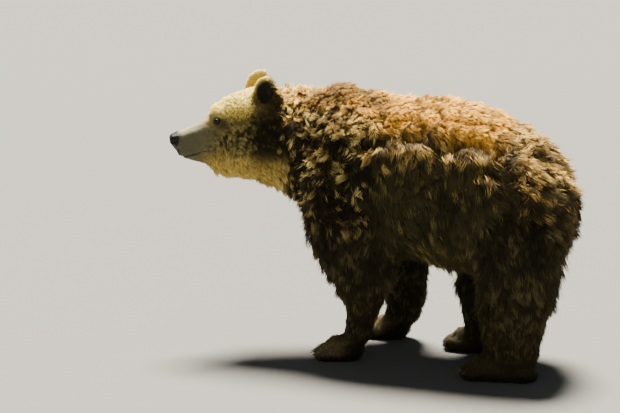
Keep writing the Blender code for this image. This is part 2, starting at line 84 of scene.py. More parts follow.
SIDES = {"left": 1, "right": -1}
LEGS = [(end, side) for end in ("fore", "hind") for side in SIDES]
TOES = range(1, 6)
LEG_NODES = [f"{end}leg_{side}_{part}" for end, side in LEGS for part in ("upper", "lower")]
PAW_NODES = [f"{end}paw_{side}" for end, side in LEGS]
EAR_NODES = [f"ear_{side}" for side in SIDES]
EYE_NODES = [f"eye_{side}" for side in SIDES]
FLESH_NODES = ["head", "jaw", "neck", "trunk", "tail"] + EAR_NODES + LEG_NODES + PAW_NODES

# How the coat lies in each part of the body. depth is how far the skin lies inside the outline, and lobe is
# how deep the gaps between the lobes of the coat are. length and width are a lock's. lift is its angle to the
# skin at the root, curl how far its end turns over and wave how far it swings to the sides, in degrees. clump
# is how far the tips draw together, and members how many locks do so. density is in locks per square metre.
# back, down and out are the shares of the lie towards the rear, the ground and away from the body's middle.
Lie = namedtuple("Lie", "depth lobe length width lift clump members curl wave density back down out")
COAT = {
    "muzzle": Lie(0.0020, 0, 0.0100, 0.0013, 15, 0.15, 5, 0, 16, 150000, 1.0, 0.2, 0),
    "crown": Lie(0.009, 0.002, 0.022, 0.0016, 27, 0.55, 9, 20, 28, 116000, 1.0, 0.05, 0.2),
    "cheek": Lie(0.012, 0.003, 0.027, 0.0016, 30, 0.60, 11, 35, 34, 108000, 0.8, 0.60, 0),
    "ear": Lie(0.010, 0, 0.0115, 0.0011, 30, 0.20, 5, 15, 30, 215000, 0.3, -0.45, 0.2),
    "throat": Lie(0.017, 0.003, 0.034, 0.0018, 38, 0.60, 12, 16, 28, 88000, 0.7, 0.70, 0),
    "neck": Lie(0.031, 0.018, 0.050, 0.0028, 42, 0.66, 17, 110, 45, 44000, 0.8, 0.60, 0.1),
    "shoulder": Lie(0.034, 0.024, 0.055, 0.0029, 40, 0.66, 19, 105, 45, 43500, 0.6, 0.80, 0.1),
    "back": Lie(0.023, 0.014, 0.037, 0.0020, 34, 0.62, 12, 45, 45, 78000, 0.9, 0.10, 0.4),
    "flank": Lie(0.034, 0.016, 0.074, 0.0025, 22, 0.60, 17, 14, 30, 53000, 0.35, 0.90, 0),
    "belly": Lie(0.032, 0.005, 0.074, 0.0025, 33, 0.62, 14, 8, 26, 50000, 0.45, 0.80, 0.1),
    "rump": Lie(0.035, 0.020, 0.060, 0.0026, 31, 0.62, 16, 65, 55, 53000, 0.6, 0.80, 0.1),
    "thigh": Lie(0.029, 0.011, 0.062, 0.0026, 26, 0.64, 14, 25, 34, 47000, 0.25, 1.0, 0),
    "elbow": Lie(0.027, 0.011, 0.058, 0.0026, 27, 0.66, 15, 40, 38, 47000, 0.2, 1.0, 0),
    "shank": Lie(0.014, 0.003, 0.035, 0.0024, 24, 0.52, 9, 10, 26, 50000, 0.12, 1.0, 0),
    "paw": Lie(0.0030, 0, 0.020, 0.0019, 30, 0.40, 7, 0, 24, 58000, -0.9, 0.25, 0),
    "tail": Lie(0.020, 0.004, 0.050, 0.0030, 24, 0.60, 14, 10, 20, 46000, 0.4, 0.90, 0),
}
PARTS = list(COAT)
SHAPE_COLUMNS = ("length", "width", "lift", "clump", "members", "curl", "wave")

# Each part's named colours: at the roots, at the tips, and at the tips of the pale clumps, which stand partly
# for bleaching and partly for painted light from above.
LAYERS = ("root", "tip", "bright")
Tint = namedtuple("Tint", LAYERS)
TINTS = {
    "muzzle": Tint("muzzle_root", "muzzle_tip", "muzzle_tip"),
    "crown": Tint("olive", "straw", "blond"),
    "cheek": Tint("umber", "olive", "hay"),
    "ear": Tint("olive", "straw", "blond"),
    # The throat's straw tips are partly its own yellow and partly a painted glow of light through its fringe.
    "throat": Tint("olive", "straw", "straw"),
    "neck": Tint("dark", "umber", "tan"),
    "shoulder": Tint("dark", "umber", "tan"),
    "back": Tint("russet", "gold", "gold"),
    "flank": Tint("dark", "olive", "olive_gold"),
    "belly": Tint("umber", "olive", "olive_gold"),
    "rump": Tint("dark", "brown", "fawn"),
    "thigh": Tint("dark", "umber", "brown"),
    "elbow": Tint("dark", "umber", "brown"),
    "shank": Tint("dark", "umber", "brown"),
    "paw": Tint("dark", "umber", "umber"),
    "tail": Tint("dark", "umber", "brown"),
}

# Shares of the body's length, from the nose, at which one part of the trunk's coat gives way to the next.
SHOULDER_END, FLANK_END, RUMP_START = 0.52, 0.78, 0.82

# Smooth noises, each given by the size of its features and its seed.
LOBES, SUNLIT_EDGE, MOTTLE, NAPE_EDGE, STOP_EDGE = (0.15, 31), (0.22, 25), (0.11, 21), (0.05, 24), (0.02, 22)
SWIRL, RIPPLE = (0.28, 3), (0.09, 4)


# Settings that a user would change


def colour_setting(name, description, default):
    return FloatVectorProperty(
        name=name, description=description, default=default, subtype="COLOR", size=3, min=0.0, max=1.0
    )


def number_setting(name, description, default, **limits):
    return FloatProperty(name=name, description=description, default=default, **limits)


def length_setting(name, description, default, **limits):
    return number_setting(name, description, default, unit="LENGTH", **limits)


def angle_setting(name, description, degrees):
    return number_setting(name, description, math.radians(degrees), unit="ROTATION")


class BearSkinSettings(bpy.types.PropertyGroup):
    voxel: length_setting("Voxel", "Cell of the remesh that joins the solids", 0.008, min=0.004, max=0.02)
    overlap: length_setting("Overlap", "Growth that closes the cuts", 0.0015, min=0.0005, max=0.004)
    leather: colour_setting("Leather", "Bare skin of the lips, eyelids and soles", (0.009, 0.0075, 0.0065))


class BearCoatSettings(bpy.types.PropertyGroup):
    density: number_setting("Density", "Share of the usual number of locks", 1.0, min=0.1, max=1.2)
    length: number_setting("Length", "Share of the usual length of a lock", 1.0, min=0.5, max=1.2)
    # The pale tip colours stand partly for bleaching and partly for painted light from above; on the brows,
    # blond is a painted highlight.
    blond: colour_setting("Blond", "Bleached tips on the crown, ears and brows", (0.98, 0.74, 0.15))
    gold: colour_setting("Gold", "Tips along the back and over the shoulders", (0.92, 0.45, 0.040))
    tan: colour_setting("Tan", "Bleached curls on the neck and shoulder", (0.98, 0.74, 0.26))
    straw: colour_setting("Straw", "Tips on the crown, ears and throat", (0.76, 0.54, 0.13))
    hay: colour_setting("Hay", "Bleached tips on the cheeks", (0.42, 0.34, 0.11))
    fawn: colour_setting("Fawn", "Bleached tips on the rump and upper flank", (0.68, 0.43, 0.125))
    russet: colour_setting("Russet", "Tips on the hump, and roots along the back", (0.20, 0.105, 0.030))
    olive_gold: colour_setting("Olive gold", "Bleached tips on the flank and belly", (0.30, 0.235, 0.065))
    olive: colour_setting("Olive", "Tips on the cheek, flank and belly", (0.052, 0.044, 0.018))
    brown: colour_setting("Brown", "Tips on the rump, bleached tips on the legs", (0.100, 0.078, 0.034))
    umber: colour_setting("Umber", "Tips on the neck, shoulders and legs", (0.030, 0.025, 0.0115))
    # Dark also paints the shade in the gaps between the lobes, in the hollows of the ears, behind the ears
    # and between the toes.
    dark: colour_setting("Dark", "Roots over the body, and the coat in its gaps", (0.015, 0.0125, 0.0070))
    paw_grey: colour_setting("Paw grey", "Backs of the toes", (0.38, 0.285, 0.140))
    muzzle_root: colour_setting("Muzzle root", "Short coat of the muzzle, at the skin", (0.090, 0.085, 0.050))
    bridge: colour_setting("Bridge", "Short coat along the top of the muzzle", (0.36, 0.31, 0.185))
    muzzle_tip: colour_setting("Muzzle tip", "Short coat of the muzzle, at the tips", (0.162, 0.150, 0.086))


class BearFeatureSettings(bpy.types.PropertyGroup):
    iris: colour_setting("Iris", "Colour of the eyes", (0.040, 0.015, 0.005))
    nose: colour_setting("Nose", "Leather of the nose", (0.0055, 0.0050, 0.0050))
    claw_root: colour_setting("Claw root", "Horn near the toe", (0.040, 0.030, 0.022))
    claw_tip: colour_setting("Claw tip", "Horn at the point", (0.22, 0.18, 0.13))


class BearStageSettings(bpy.types.PropertyGroup):
    floor: colour_setting("Floor", "Plain pale floor", (0.120, 0.118, 0.113))
    floor_side: length_setting("Floor side", "Side of the floor", 80.0)
    camera_distance: length_setting("Camera distance", "From the middle of the view", 7.0)
    lens: number_setting("Lens", "Focal length in millimetres", 101.6, min=20, max=300)
    azimuth: angle_setting("Azimuth", "Turn of the camera round the bear", 110)
    elevation: angle_setting("Elevation", "How far the camera looks down", 12)
    key_power: number_setting("Key light", "Strength of the light from above", 33.0)
    key_softness: angle_setting("Key softness", "How wide the light from above looks", 18)
    fill_power: number_setting("Fill light", "Power of the light beside the camera", 20.0)
    sky: number_setting("Sky", "Strength of the light from all round", 0.20)


class BearSettings(bpy.types.PropertyGroup):
    skin: PointerProperty(type=BearSkinSettings)
    coat: PointerProperty(type=BearCoatSettings)
    features: PointerProperty(type=BearFeatureSettings)
    stage: PointerProperty(type=BearStageSettings)


def settings():
    return bpy.context.scene.bear


# Objects and meshes

MERGE_DISTANCE = 0.00002


def select_only(obj):
    bpy.ops.object.select_all(action="DESELECT")
    obj.hide_viewport = False
    obj.select_set(True)
    bpy.context.view_layer.objects.active = obj


def new_object(name, data):
    obj = bpy.data.objects.new(name, data)
    bpy.context.scene.collection.objects.link(obj)
    return obj


def applied(obj, kind, **values):
    """Adds a modifier of this kind with these values and applies it."""
    modifier = obj.modifiers.new(kind, kind)
    for name, value in values.items():
        setattr(modifier, name, value)
    select_only(obj)
    bpy.ops.object.modifier_apply(modifier=modifier.name)
    return obj


def merged_copy(node, name):
    """A free copy of a solid, with its loose triangles joined up."""
    copy = new_object(name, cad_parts[node].data.copy())
    copy.data.materials.clear()
    select_only(copy)
    bpy.ops.object.mode_set(mode="EDIT")
    bpy.ops.mesh.select_all(action="SELECT")
    bpy.ops.mesh.remove_doubles(threshold=MERGE_DISTANCE)
    bpy.ops.object.mode_set(mode="OBJECT")
    return copy


def joined(objects, name):
    bpy.ops.object.select_all(action="DESELECT")
    for obj in objects:
        obj.select_set(True)
    bpy.context.view_layer.objects.active = objects[0]
    bpy.ops.object.join()
    objects[0].name = name
    return objects[0]


def column(items, field, width=3, kind=np.float32):
    """One field of all these items, in rows this wide."""
    values = np.empty(len(items) * width, kind)
    items.foreach_get(field, values)
    return values.reshape(-1, width)


def points_of(mesh):
    return column(mesh.vertices, "co").astype(float)


def set_points(mesh, points):
    mesh.vertices.foreach_set("co", points.astype(np.float32).ravel())
    mesh.update()


def normals_of(mesh):
    return column(mesh.vertex_normals, "vector").astype(float)


def edges_of(mesh):
    return column(mesh.edges, "vertices", 2, np.int32)


def triangles_of(mesh):
    """(corner vertices, corner loops) of each triangle."""
    mesh.calc_loop_triangles()
    triangles = mesh.loop_triangles
    return column(triangles, "vertices", 3, np.int32), column(triangles, "loops", 3, np.int32)


def store(mesh, name, kind, values):
    """Writes values on the vertices as an attribute."""
    attribute = mesh.attributes.new(name, kind, "POINT")
    values = np.asarray(values, np.float32)
    if kind == "FLOAT_COLOR":
        values = np.concatenate([values, np.ones((len(values), 1), np.float32)], axis=1)
    field = {"FLOAT_COLOR": "color", "FLOAT_VECTOR": "vector", "FLOAT": "value"}[kind]
    attribute.data.foreach_set(field, values.ravel())


def dress(obj, material):
    """Gives a finished mesh its material and shades it smooth."""
    obj.data.materials.append(material)
    select_only(obj)
    bpy.ops.object.shade_smooth()


def finish_piece(obj, slot, *nodes):
    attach(obj, BODY)
    if nodes:
        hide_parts(*nodes)
    return obj


# Numbers and fields


def unit(vectors):
    return vectors / np.maximum(np.linalg.norm(vectors, axis=-1, keepdims=True), 1e-9)


def ramp(values, low, high):
    """0 below low, 1 above high, and smooth between; with low above high it falls instead."""
    share = np.clip((values - low) / (high - low), 0, 1)
    return share * share * (3 - 2 * share)


def gauss(values, middle_value, spread):
    return np.exp(-(((values - middle_value) / spread) ** 2))


def spot(first, second, place, spread):
    """1 at this place on a map of two numbers, falling off smoothly over this spread each way."""
    return np.exp(-(((first - place[0]) / spread[0]) ** 2) - ((second - place[1]) / spread[1]) ** 2)


def mixed(first, second, share):
    return first + (np.asarray(second) - first) * np.clip(share, 0, 1)[:, None]


def diffused(values, edges, rounds):
    """Each vertex takes the mean of itself and its neighbours, this many times."""
    count = len(values)
    links = np.bincount(edges.ravel(), minlength=count) + 1.0
    values = values.copy()
    for _ in range(rounds):
        fresh = values.copy()
        for column in range(values.shape[1]):
            fresh[:, column] += np.bincount(edges[:, 0], values[edges[:, 1], column], count)
            fresh[:, column] += np.bincount(edges[:, 1], values[edges[:, 0], column], count)
        values = fresh / links[:, None]
    return values


def wobble(points, size, seed, waves=7):
    """Smooth noise from -1 to 1 whose features are about this size."""
    rng = np.random.default_rng(seed)
    total = np.zeros(len(points))
    for _ in range(waves):
        direction = unit(rng.normal(size=3)) * rng.uniform(0.7, 1.5) * 2 * math.pi / size
        total += np.sin(points @ direction + rng.uniform(0, 2 * math.pi))
    return np.clip(total / math.sqrt(waves), -1.6, 1.6) / 1.6


def distance_to_line(points, line):
    """Shortest distance of 2-D points to a bent line."""
    best = np.full(len(points), np.inf)
    for start, end in zip(np.array(line[:-1]), np.array(line[1:])):
        span = end - start
        share = np.clip((points - start) @ span / (span @ span), 0, 1)
        best = np.minimum(best, np.linalg.norm(points - start - share[:, None] * span, axis=1))
    return best


def nearest(places, points):
    """The index of the nearest of these places to each point."""
    tree = KDTree(len(places))
    for index, place in enumerate(places):
        tree.insert(place, index)
    tree.balance()
    return np.array([tree.find(point)[1] for point in points])


def along_body(points):
    """How far back each place lies, as a share of the body's length."""
    return (points[:, 1] - SOLID_BOX[0][1]) / (SOLID_BOX[1][1] - SOLID_BOX[0][1])


# Places on the head, measured ahead of, aside from and above the point midway between the eyes


def middle(node):
    low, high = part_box(node)
    return np.array((low + high) / 2)


BETWEEN_EYES = (middle("eye_left") + middle("eye_right")) / 2
ASIDE = unit(middle("eye_left") - middle("eye_right"))
AHEAD = unit(np.cross(ASIDE, -DOWN))
HEAD_AXES = np.array((AHEAD, ASIDE, -DOWN))
HEAD_TURN = float(-math.atan2(AHEAD[0], -AHEAD[1]))
EYE_RADIUS = float((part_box("eye_left")[1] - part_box("eye_left")[0]).z) / 2
EYE_ASIDE = float(np.linalg.norm(middle("eye_left") - BETWEEN_EYES))
# The lids' opening: half its width, and how far it reaches up and down, as angles seen from the eye's middle.
LID_CORNER, UPPER_GAPE, LOWER_GAPE = 0.80, 0.40, 0.36
LID_THICKNESS, LID_FOLD = 0.0024, 0.0009
FACE_END = -0.10

NOSTRIL = np.array((0.176, 0.0165, -0.0855))
# The slit that runs from a nostril out and up round the side of the nose, aside and above.
NOSTRIL_SLIT = ((0.0165, -0.0890), (0.0250, -0.0905), (0.0315, -0.0860), (0.0345, -0.0790))

# The line of the mouth, ahead of and above the point between the eyes, from the front back to the corner.
MOUTH_LINE = (
    (0.175, -0.148), (0.132, -0.1425), (0.109, -0.1385), (0.081, -0.1315),
    (0.057, -0.1195), (0.029, -0.1165), (0.006, -0.1285),
)

# The middle of each ear, with the right one pricked a little further ahead.
EAR_PLACES = {"left": (-0.188, 0.106, 0.1185), "right": (-0.172, -0.106, 0.1185)}
EAR_SWING = math.radians(58)
HOLLOW_HALF_WIDTH, HOLLOW_HALF_HEIGHT = 0.043, 0.049
# The cup of an ear: its depth, how far its middle lies behind the ear's, how far its floor rises to the rim,
# and the least thickness left behind it.
CUP_DEPTH, CUP_SET_BACK, CUP_RISE, EAR_WALL = 0.024, 0.009, 0.020, 0.007


def on_head(points):
    return (points - BETWEEN_EYES) @ HEAD_AXES.T


def from_head(places):
    return np.asarray(places, float) @ HEAD_AXES + BETWEEN_EYES


def folded(head):
    """Places on the head, with those of its right side turned over onto its left."""
    return head * (1, 0, 1) + np.abs(head) * (0, 1, 0)


def to_eyes(points):
    """Distance of each place to the middle of the nearer eye."""
    return np.linalg.norm(folded(on_head(points)) - (0, EYE_ASIDE, 0), axis=1)


def to_mouth(head):
    """Distance of each place on the head to the mouth line, seen from the side."""
    return distance_to_line(head[:, (0, 2)], MOUTH_LINE)


def eye_frame(side):
    """(centre, look, along, up) of an eye, with along running from its outer to its inner corner."""
    centre = middle(f"eye_{side}")
    look = unit(np.array((0.56, 0.83 * SIDES[side], 0.06)) @ HEAD_AXES)
    along = unit(np.array((0.83, -0.56 * SIDES[side], -0.30)) @ HEAD_AXES)
    along = unit(along - look * (along @ look))
    up = np.cross(look, along) * SIDES[side]
    if up[2] < 0:
        up = -up
    return centre, look, along, up


def ear_frame(side):
    """(centre, front, across, up) of an ear."""
    front = AHEAD * math.cos(EAR_SWING) + ASIDE * math.sin(EAR_SWING) * SIDES[side] - DOWN * 0.14
    front = unit(front)
    across = unit(np.cross(front, -DOWN - AHEAD * 0.28))
    return from_head(EAR_PLACES[side]), front, across, np.cross(across, front)


def on_ear(points, side):
    """(depth, spread) of each place: how far in front of an ear's middle it is, and 1 at the hollow's rim."""
    centre, front, across, up = ear_frame(side)
    away = points - centre
    spread = np.hypot((away @ across) / HOLLOW_HALF_WIDTH, (away @ up + 0.001) / HOLLOW_HALF_HEIGHT)
    return away @ front, spread


def on_nose(head):
    """1 where the nose is bare leather, 0 beyond its border, at places measured on the head."""
    ahead, aside, above = folded(head).T
    half_width = 0.0365 - 0.020 * ramp(above, -0.094, -0.117) - 0.012 * ramp(above, -0.066, -0.050)
    inside = np.minimum(half_width - aside, above + 0.1225)
    behind = ahead - (0.1475 + 0.22 * np.maximum(above + 0.072, 0))
    return ramp(np.minimum(inside, behind), -0.0025, 0.0030)


# Skin


def solid_samples():
    """Points all over the solids of flesh, with the index of the node that each lies on."""
    points, owners = [], []
    for index, node in enumerate(FLESH_NODES):
        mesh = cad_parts[node].data
        corners = points_of(mesh)
        faces = np.array([tuple(face.vertices) for face in mesh.polygons])
        a, b, c = (corners[faces[:, k]] for k in range(3))
        for u, v in ((1 / 3, 1 / 3), (0.6, 0.2), (0.2, 0.6), (0.2, 0.2)):
            points.append(a * u + b * v + c * (1 - u - v))
            owners += [index] * len(faces)
    return np.concatenate(points), np.array(owners)


def part_weights(points, normals, edges, owners):
    """How much each vertex belongs to each part of the coat, blended over the borders between parts."""
    node = np.array(FLESH_NODES)[owners]
    part = np.full(len(points), "flank", dtype="<U10")
    along = along_body(points)
    up, trunk = normals[:, 2], node == "trunk"
    part[trunk & (up > 0.62)] = "back"
    part[trunk & (up < -0.5)] = "belly"
    part[trunk & (along < SHOULDER_END) & (up > -0.55) & (up < 0.80)] = "shoulder"
    part[trunk & (along > RUMP_START)] = "rump"
    part[node == "neck"] = "neck"
    part[node == "tail"] = "tail"
    part[np.isin(node, ("head", "jaw"))] = "cheek"
    part[np.isin(node, EAR_NODES)] = "ear"
    for end, side in LEGS:
        part[node == f"{end}leg_{side}_upper"] = {"fore": "elbow", "hind": "thigh"}[end]
        part[node == f"{end}leg_{side}_lower"] = "shank"
        part[node == f"{end}paw_{side}"] = "paw"
    weights = diffused((part[:, None] == np.array(PARTS)[None, :]).astype(float), edges, 16)
    return divide_head(points, normals, weights)


def divide_head(points, normals, weights):
    """Shares the head's coat between the muzzle, crown, cheeks and throat by their places on the head."""
    ahead, aside, above = folded(on_head(points)).T
    of = {part: index for index, part in enumerate(PARTS)}
    skull = weights[:, of["cheek"]].copy()
    # The short coat of the muzzle reaches further back on its bridge than along the jaw.
    muzzle = ramp(ahead + 0.32 * above, -0.045, 0.060) * ramp(above, 0.046, 0.018)
    throat = (1 - muzzle) * ramp(above, -0.095, -0.145) * ramp(normals[:, 2], 0.25, -0.25)
    crown = (1 - muzzle - throat) * ramp(above - 0.12 * aside, -0.020, 0.045)
    cheek = 1 - muzzle - throat - crown
    for name, share in (("muzzle", muzzle), ("throat", throat), ("crown", crown), ("cheek", cheek)):
        weights[:, of[name]] = skull * np.clip(share, 0, 1)
    under_neck = weights[:, of["neck"]] * ramp(above, -0.09, -0.15) * ramp(ahead, -0.27, -0.18)
    weights[:, of["neck"]] -= under_neck
    weights[:, of["throat"]] += under_neck
    return weights


def table_of(names):
    """The named columns of the coat's table, one row for each part."""
    return np.array([[getattr(COAT[part], name) for name in names] for part in PARTS], float)


def lobes(points):
    """The rounded lobes that the coat falls into, from 0 in the gaps between them to 1 on top."""
    return ramp(np.abs(wobble(points * (1.0, 1.0, 0.8), *LOBES)), 0.0, 0.5)


# The locks of the rear end stand further out than elsewhere, so the skin there lies deeper by this much.
REAR_END_DEPTH = 0.022
LID_DEPTH = 0.0015


def sink_under_coat(points, normals, edges, weights):
    """Moves the skin inside the outline by the depth of the coat, but leaves the soles on the floor."""
    depth, lobe = (weights @ table_of(["depth", "lobe"])).T
    depth += lobe * (0.60 - lobes(points))
    rear_facing = REAR_END_DEPTH * ramp(normals[:, 1], 0.25, 0.80)
    depth += rear_facing * ramp(points[:, 1], 0.64, 0.76) * ramp(points[:, 2], 0.30, 0.45)
    depth = np.minimum(depth, LID_DEPTH + 0.25 * np.maximum(to_eyes(points) - EYE_RADIUS - 0.006, 0))
    sole = ramp(points[:, 2], 0.03, 0.012) * ramp(-normals[:, 2], 0.5, 0.8)
    depth *= 1 - sole
    return points - diffused(normals * depth[:, None], edges, 5)


def hollow_ears(points, normals):
    """Presses a cup into the front of each ear, inside its rim, and keeps it clear of the ear's back."""
    points = points.copy()
    for side in SIDES:
        depth, spread = on_ear(points, side)
        front = ear_frame(side)[1]
        facing = normals @ front
        flat = points - depth[:, None] * front
        near = (spread < 1.3) & (np.abs(depth) < 0.05)
        back = np.where(near & (facing < -0.3))[0]
        inside = np.where(near & (spread < 1) & (facing > -0.2))[0]
        wall = depth[back[nearest(flat[back], flat[inside])]] + EAR_WALL
        deep, wide = depth[inside], spread[inside]
        cup = np.minimum(deep - (CUP_RISE * wide**2 - CUP_SET_BACK), CUP_DEPTH * np.sqrt(1 - wide**2))
        floor = np.maximum(deep - np.maximum(cup, 0), wall)
        points[inside] += front * (floor - deep)[:, None]
    return points


def in_ear(points, normals):
    """1 inside the hollow of an ear, 0 elsewhere."""
    inside = np.zeros(len(points))
    for side in SIDES:
        depth, spread = on_ear(points, side)
        near = ramp(spread, 1.02, 0.82) * (np.abs(depth) < 0.045)
        inside = np.maximum(inside, near * ramp(normals @ ear_frame(side)[1], -0.20, 0.05))
    return inside


def shape_lids(points):
    """Closes the skin over each eyeball as two lids, with an almond opening between them."""
    for side in SIDES:
        centre, look, along, up = eye_frame(side)
        away = points - centre
        distance = np.linalg.norm(away, axis=1)
        ray = away / distance[:, None]
        across = np.arctan2(ray @ along, ray @ look)
        over = np.arctan2(ray @ up, ray @ look)
        gape = 1 - (across / LID_CORNER) ** 2
        beyond = np.maximum(over - UPPER_GAPE * gape, -LOWER_GAPE * gape - over)
        near = (distance < 0.040) & (ray @ look > -0.1)
        edge = ramp(beyond, -0.05, 0.13)
        fold = LID_FOLD * gauss(beyond, 0.46, 0.12)
        lid = EYE_RADIUS * 0.84 * (1 - edge) + (EYE_RADIUS + LID_THICKNESS) * edge - fold
        hold = ramp(beyond, 1.05, 0.40)
        target = np.maximum(distance, EYE_RADIUS + 0.001) * (1 - hold) + lid * hold
        moved = centre + ray * target[:, None]
        points = np.where(near[:, None], moved, points)
    return points


def pressed_in(points, normals, amount):
    return points - normals * amount[:, None]


# How far the features of the face are pressed in or stand out.
MOUTH_DEPTH, LIP_HEIGHT, BROW_HEIGHT, FOREHEAD_HEIGHT = 0.0042, 0.0016, 0.004, 0.007
UNDER_EYE_DEPTH, FURROW_DEPTH, NOSE_BED_DEPTH, NOSTRIL_DEPTH = 0.002, 0.0012, 0.004, 0.012


def shape_face(points, normals):
    """Presses in the mouth, nostrils and furrow of the muzzle, and raises the lips, brows and forehead."""
    head = on_head(points)
    ahead, aside, above = folded(head).T
    from_mouth = to_mouth(head)
    mouth = MOUTH_DEPTH * gauss(from_mouth, 0, 0.0022) - LIP_HEIGHT * gauss(from_mouth, 0.0075, 0.0035)
    points = pressed_in(points, normals, mouth * (ramp(ahead, -0.004, 0.012) * ramp(above, -0.05, -0.09)))
    brow = spot(ahead, above, (-0.010, 0.026), (0.022, 0.012)) * ramp(aside, 0.025, 0.045)
    under_eye = spot(ahead, above, (0.016, -0.020), (0.020, 0.007)) * ramp(aside, 0.02, 0.04)
    forehead = spot(ahead, above, (0.020, 0.042), (0.024, 0.020)) * ramp(aside, 0.075, 0.035)
    furrow = gauss(aside, 0, 0.006) * ramp(ahead, 0.02, 0.06) * ramp(above, -0.09, -0.05)
    pad = on_nose(head)
    opening = gauss(np.linalg.norm((folded(head) - NOSTRIL) / (2.0, 1.2, 1.0), axis=1), 0, 0.012)
    amount = UNDER_EYE_DEPTH * under_eye + FURROW_DEPTH * furrow
    amount -= BROW_HEIGHT * brow + FOREHEAD_HEIGHT * forehead
    amount += NOSE_BED_DEPTH * ramp(pad, 0.5, 1.0) + NOSTRIL_DEPTH * opening * pad
    return pressed_in(points, normals, amount)


def toe_lines(end, side):
    """(claw root, way back from it) of each toe of a paw, on the floor plan."""
    heel = middle(f"{end}paw_{side}")[:2] + np.array((0.0, 0.05))
    roots = []
    for number in TOES:
        low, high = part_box(f"claw_{end}_{side}_{number}")
        roots.append(np.array(((low.x + high.x) / 2, high.y)))
    roots.sort(key=lambda root: root[0])
    return [(root, unit(heel - root)) for root in roots]


TOE_GAP_WIDTH, TOE_GAP_DEPTH = 0.0048, 0.0075
KNUCKLE_WIDTH, KNUCKLE_HEIGHT = 0.0095, 0.0030


def between_toes(points):
    """(furrow, knuckle): how deep each place lies between two toes, and how much it is on the back of one."""
    furrow, knuckle = np.zeros(len(points)), np.zeros(len(points))
    for end, side in LEGS:
        toes = toe_lines(end, side)
        gaps = [((a[0] + b[0]) / 2, unit(a[1] + b[1])) for a, b in zip(toes[:-1], toes[1:])]
        for lines, field, width in ((gaps, furrow, TOE_GAP_WIDTH), (toes, knuckle, KNUCKLE_WIDTH)):
            for start, back in lines:
                away = points[:, :2] - start
                behind, beside = away @ back, away @ np.array((-back[1], back[0]))
                near = ramp(behind, 0.052, 0.018) * ramp(behind, -0.05, -0.03)
                near = near * ramp(points[:, 2], 0.11, 0.085)
                np.maximum(field, gauss(beside, 0, width) * near, out=field)
    return furrow, knuckle


def shape_toes(points, normals):
    """Parts the front of each paw into toes."""
    furrow, knuckle = between_toes(points)
    amount = TOE_GAP_DEPTH * furrow - KNUCKLE_HEIGHT * knuckle
    return pressed_in(points, normals, amount * ramp(points[:, 2], 0.006, 0.014))


def refine(obj, chosen):
    """Subdivides the faces whose middle this function picks."""
    select_only(obj)
    picked = chosen(column(obj.data.polygons, "center").astype(float))
    bpy.ops.object.mode_set(mode="EDIT")
    bpy.ops.mesh.select_mode(type="FACE")
    bpy.ops.mesh.select_all(action="DESELECT")
    bpy.ops.object.mode_set(mode="OBJECT")
    obj.data.polygons.foreach_set("select", picked)
    bpy.ops.object.mode_set(mode="EDIT")
    bpy.ops.mesh.subdivide(number_cuts=1)
    bpy.ops.object.mode_set(mode="OBJECT")


def near_face(middles):
    ahead, aside, above = folded(on_head(middles)).T
    return (ahead > -0.05) & (above > -0.22) & (aside < 0.14)


def near_mouth_or_eyes(middles):
    head = on_head(middles)
    ahead, aside, _ = folded(head).T
    return (to_eyes(middles) < 0.042) | (to_mouth(head) < 0.014) & (ahead > -0.01) & (aside < 0.10)


def near_toes(middles):
    close = np.zeros(len(middles), bool)
    for end, side in LEGS:
        for start, _ in toe_lines(end, side):
            close |= (np.linalg.norm(middles[:, :2] - start, axis=1) < 0.055) & (middles[:, 2] < 0.10)
    return close


def one_skin():
    """The solids of flesh grown into each other and remeshed as one closed surface."""
    sizes = settings().skin
    copies = []
    for node in FLESH_NODES + EYE_NODES + ["nose"]:
        copy = merged_copy(node, "part_" + node)
        applied(copy, "DISPLACE", strength=sizes.overlap, mid_level=0.0)
        copies.append(copy)
    skin = joined(copies, "skin")
    applied(skin, "REMESH", mode="VOXEL", voxel_size=sizes.voxel)
    applied(skin, "SMOOTH", factor=0.5, iterations=3)
    refine(skin, near_face)
    refine(skin, near_toes)
    applied(skin, "SMOOTH", factor=0.5, iterations=2)
    refine(skin, near_mouth_or_eyes)
    refine(skin, lambda middles: to_eyes(middles) < 0.024)
    refine(skin, lambda middles: to_eyes(middles) < 0.0175)
    return skin


def bare_share(points, normals):
    """Where the skin is leather: soles, lips, nose and the rims of the eyes."""
    head = on_head(points)
    ahead, _, above = head.T
    sole = ramp(-normals[:, 2], 0.55, 0.85) * ramp(points[:, 2], 0.03, 0.015)
    lips = ramp(to_mouth(head), 0.0050, 0.0022) * ramp(ahead, 0.03, 0.09) * ramp(above, -0.05, -0.09)
    rims = ramp(to_eyes(points), EYE_RADIUS + 0.0065, EYE_RADIUS + 0.0030)
    # The dark leather in front under the nose is partly the lip's own and partly painted shadow under the
    # nose.
    front_lip = ramp(ahead, 0.140, 0.156) * ramp(above, -0.104, -0.120) * ramp(above, -0.160, -0.150)
    return np.clip(sole + lips + rims + on_nose(head) + front_lip, 0, 1)


# Markings

# A painted patch of light on the upper flank, as pale clumps: its place along the body, its height and how
# far it reaches up.
LitPatch = namedtuple("LitPatch", "along height reach")
LIT_PATCHES = (LitPatch(0.162, 0.900, 0.055), LitPatch(0.528, 0.895, 0.035))
LIT_PATCH_LENGTH = 0.050
HUMP_PLACE, HUMP_LENGTH = -0.19, 0.11


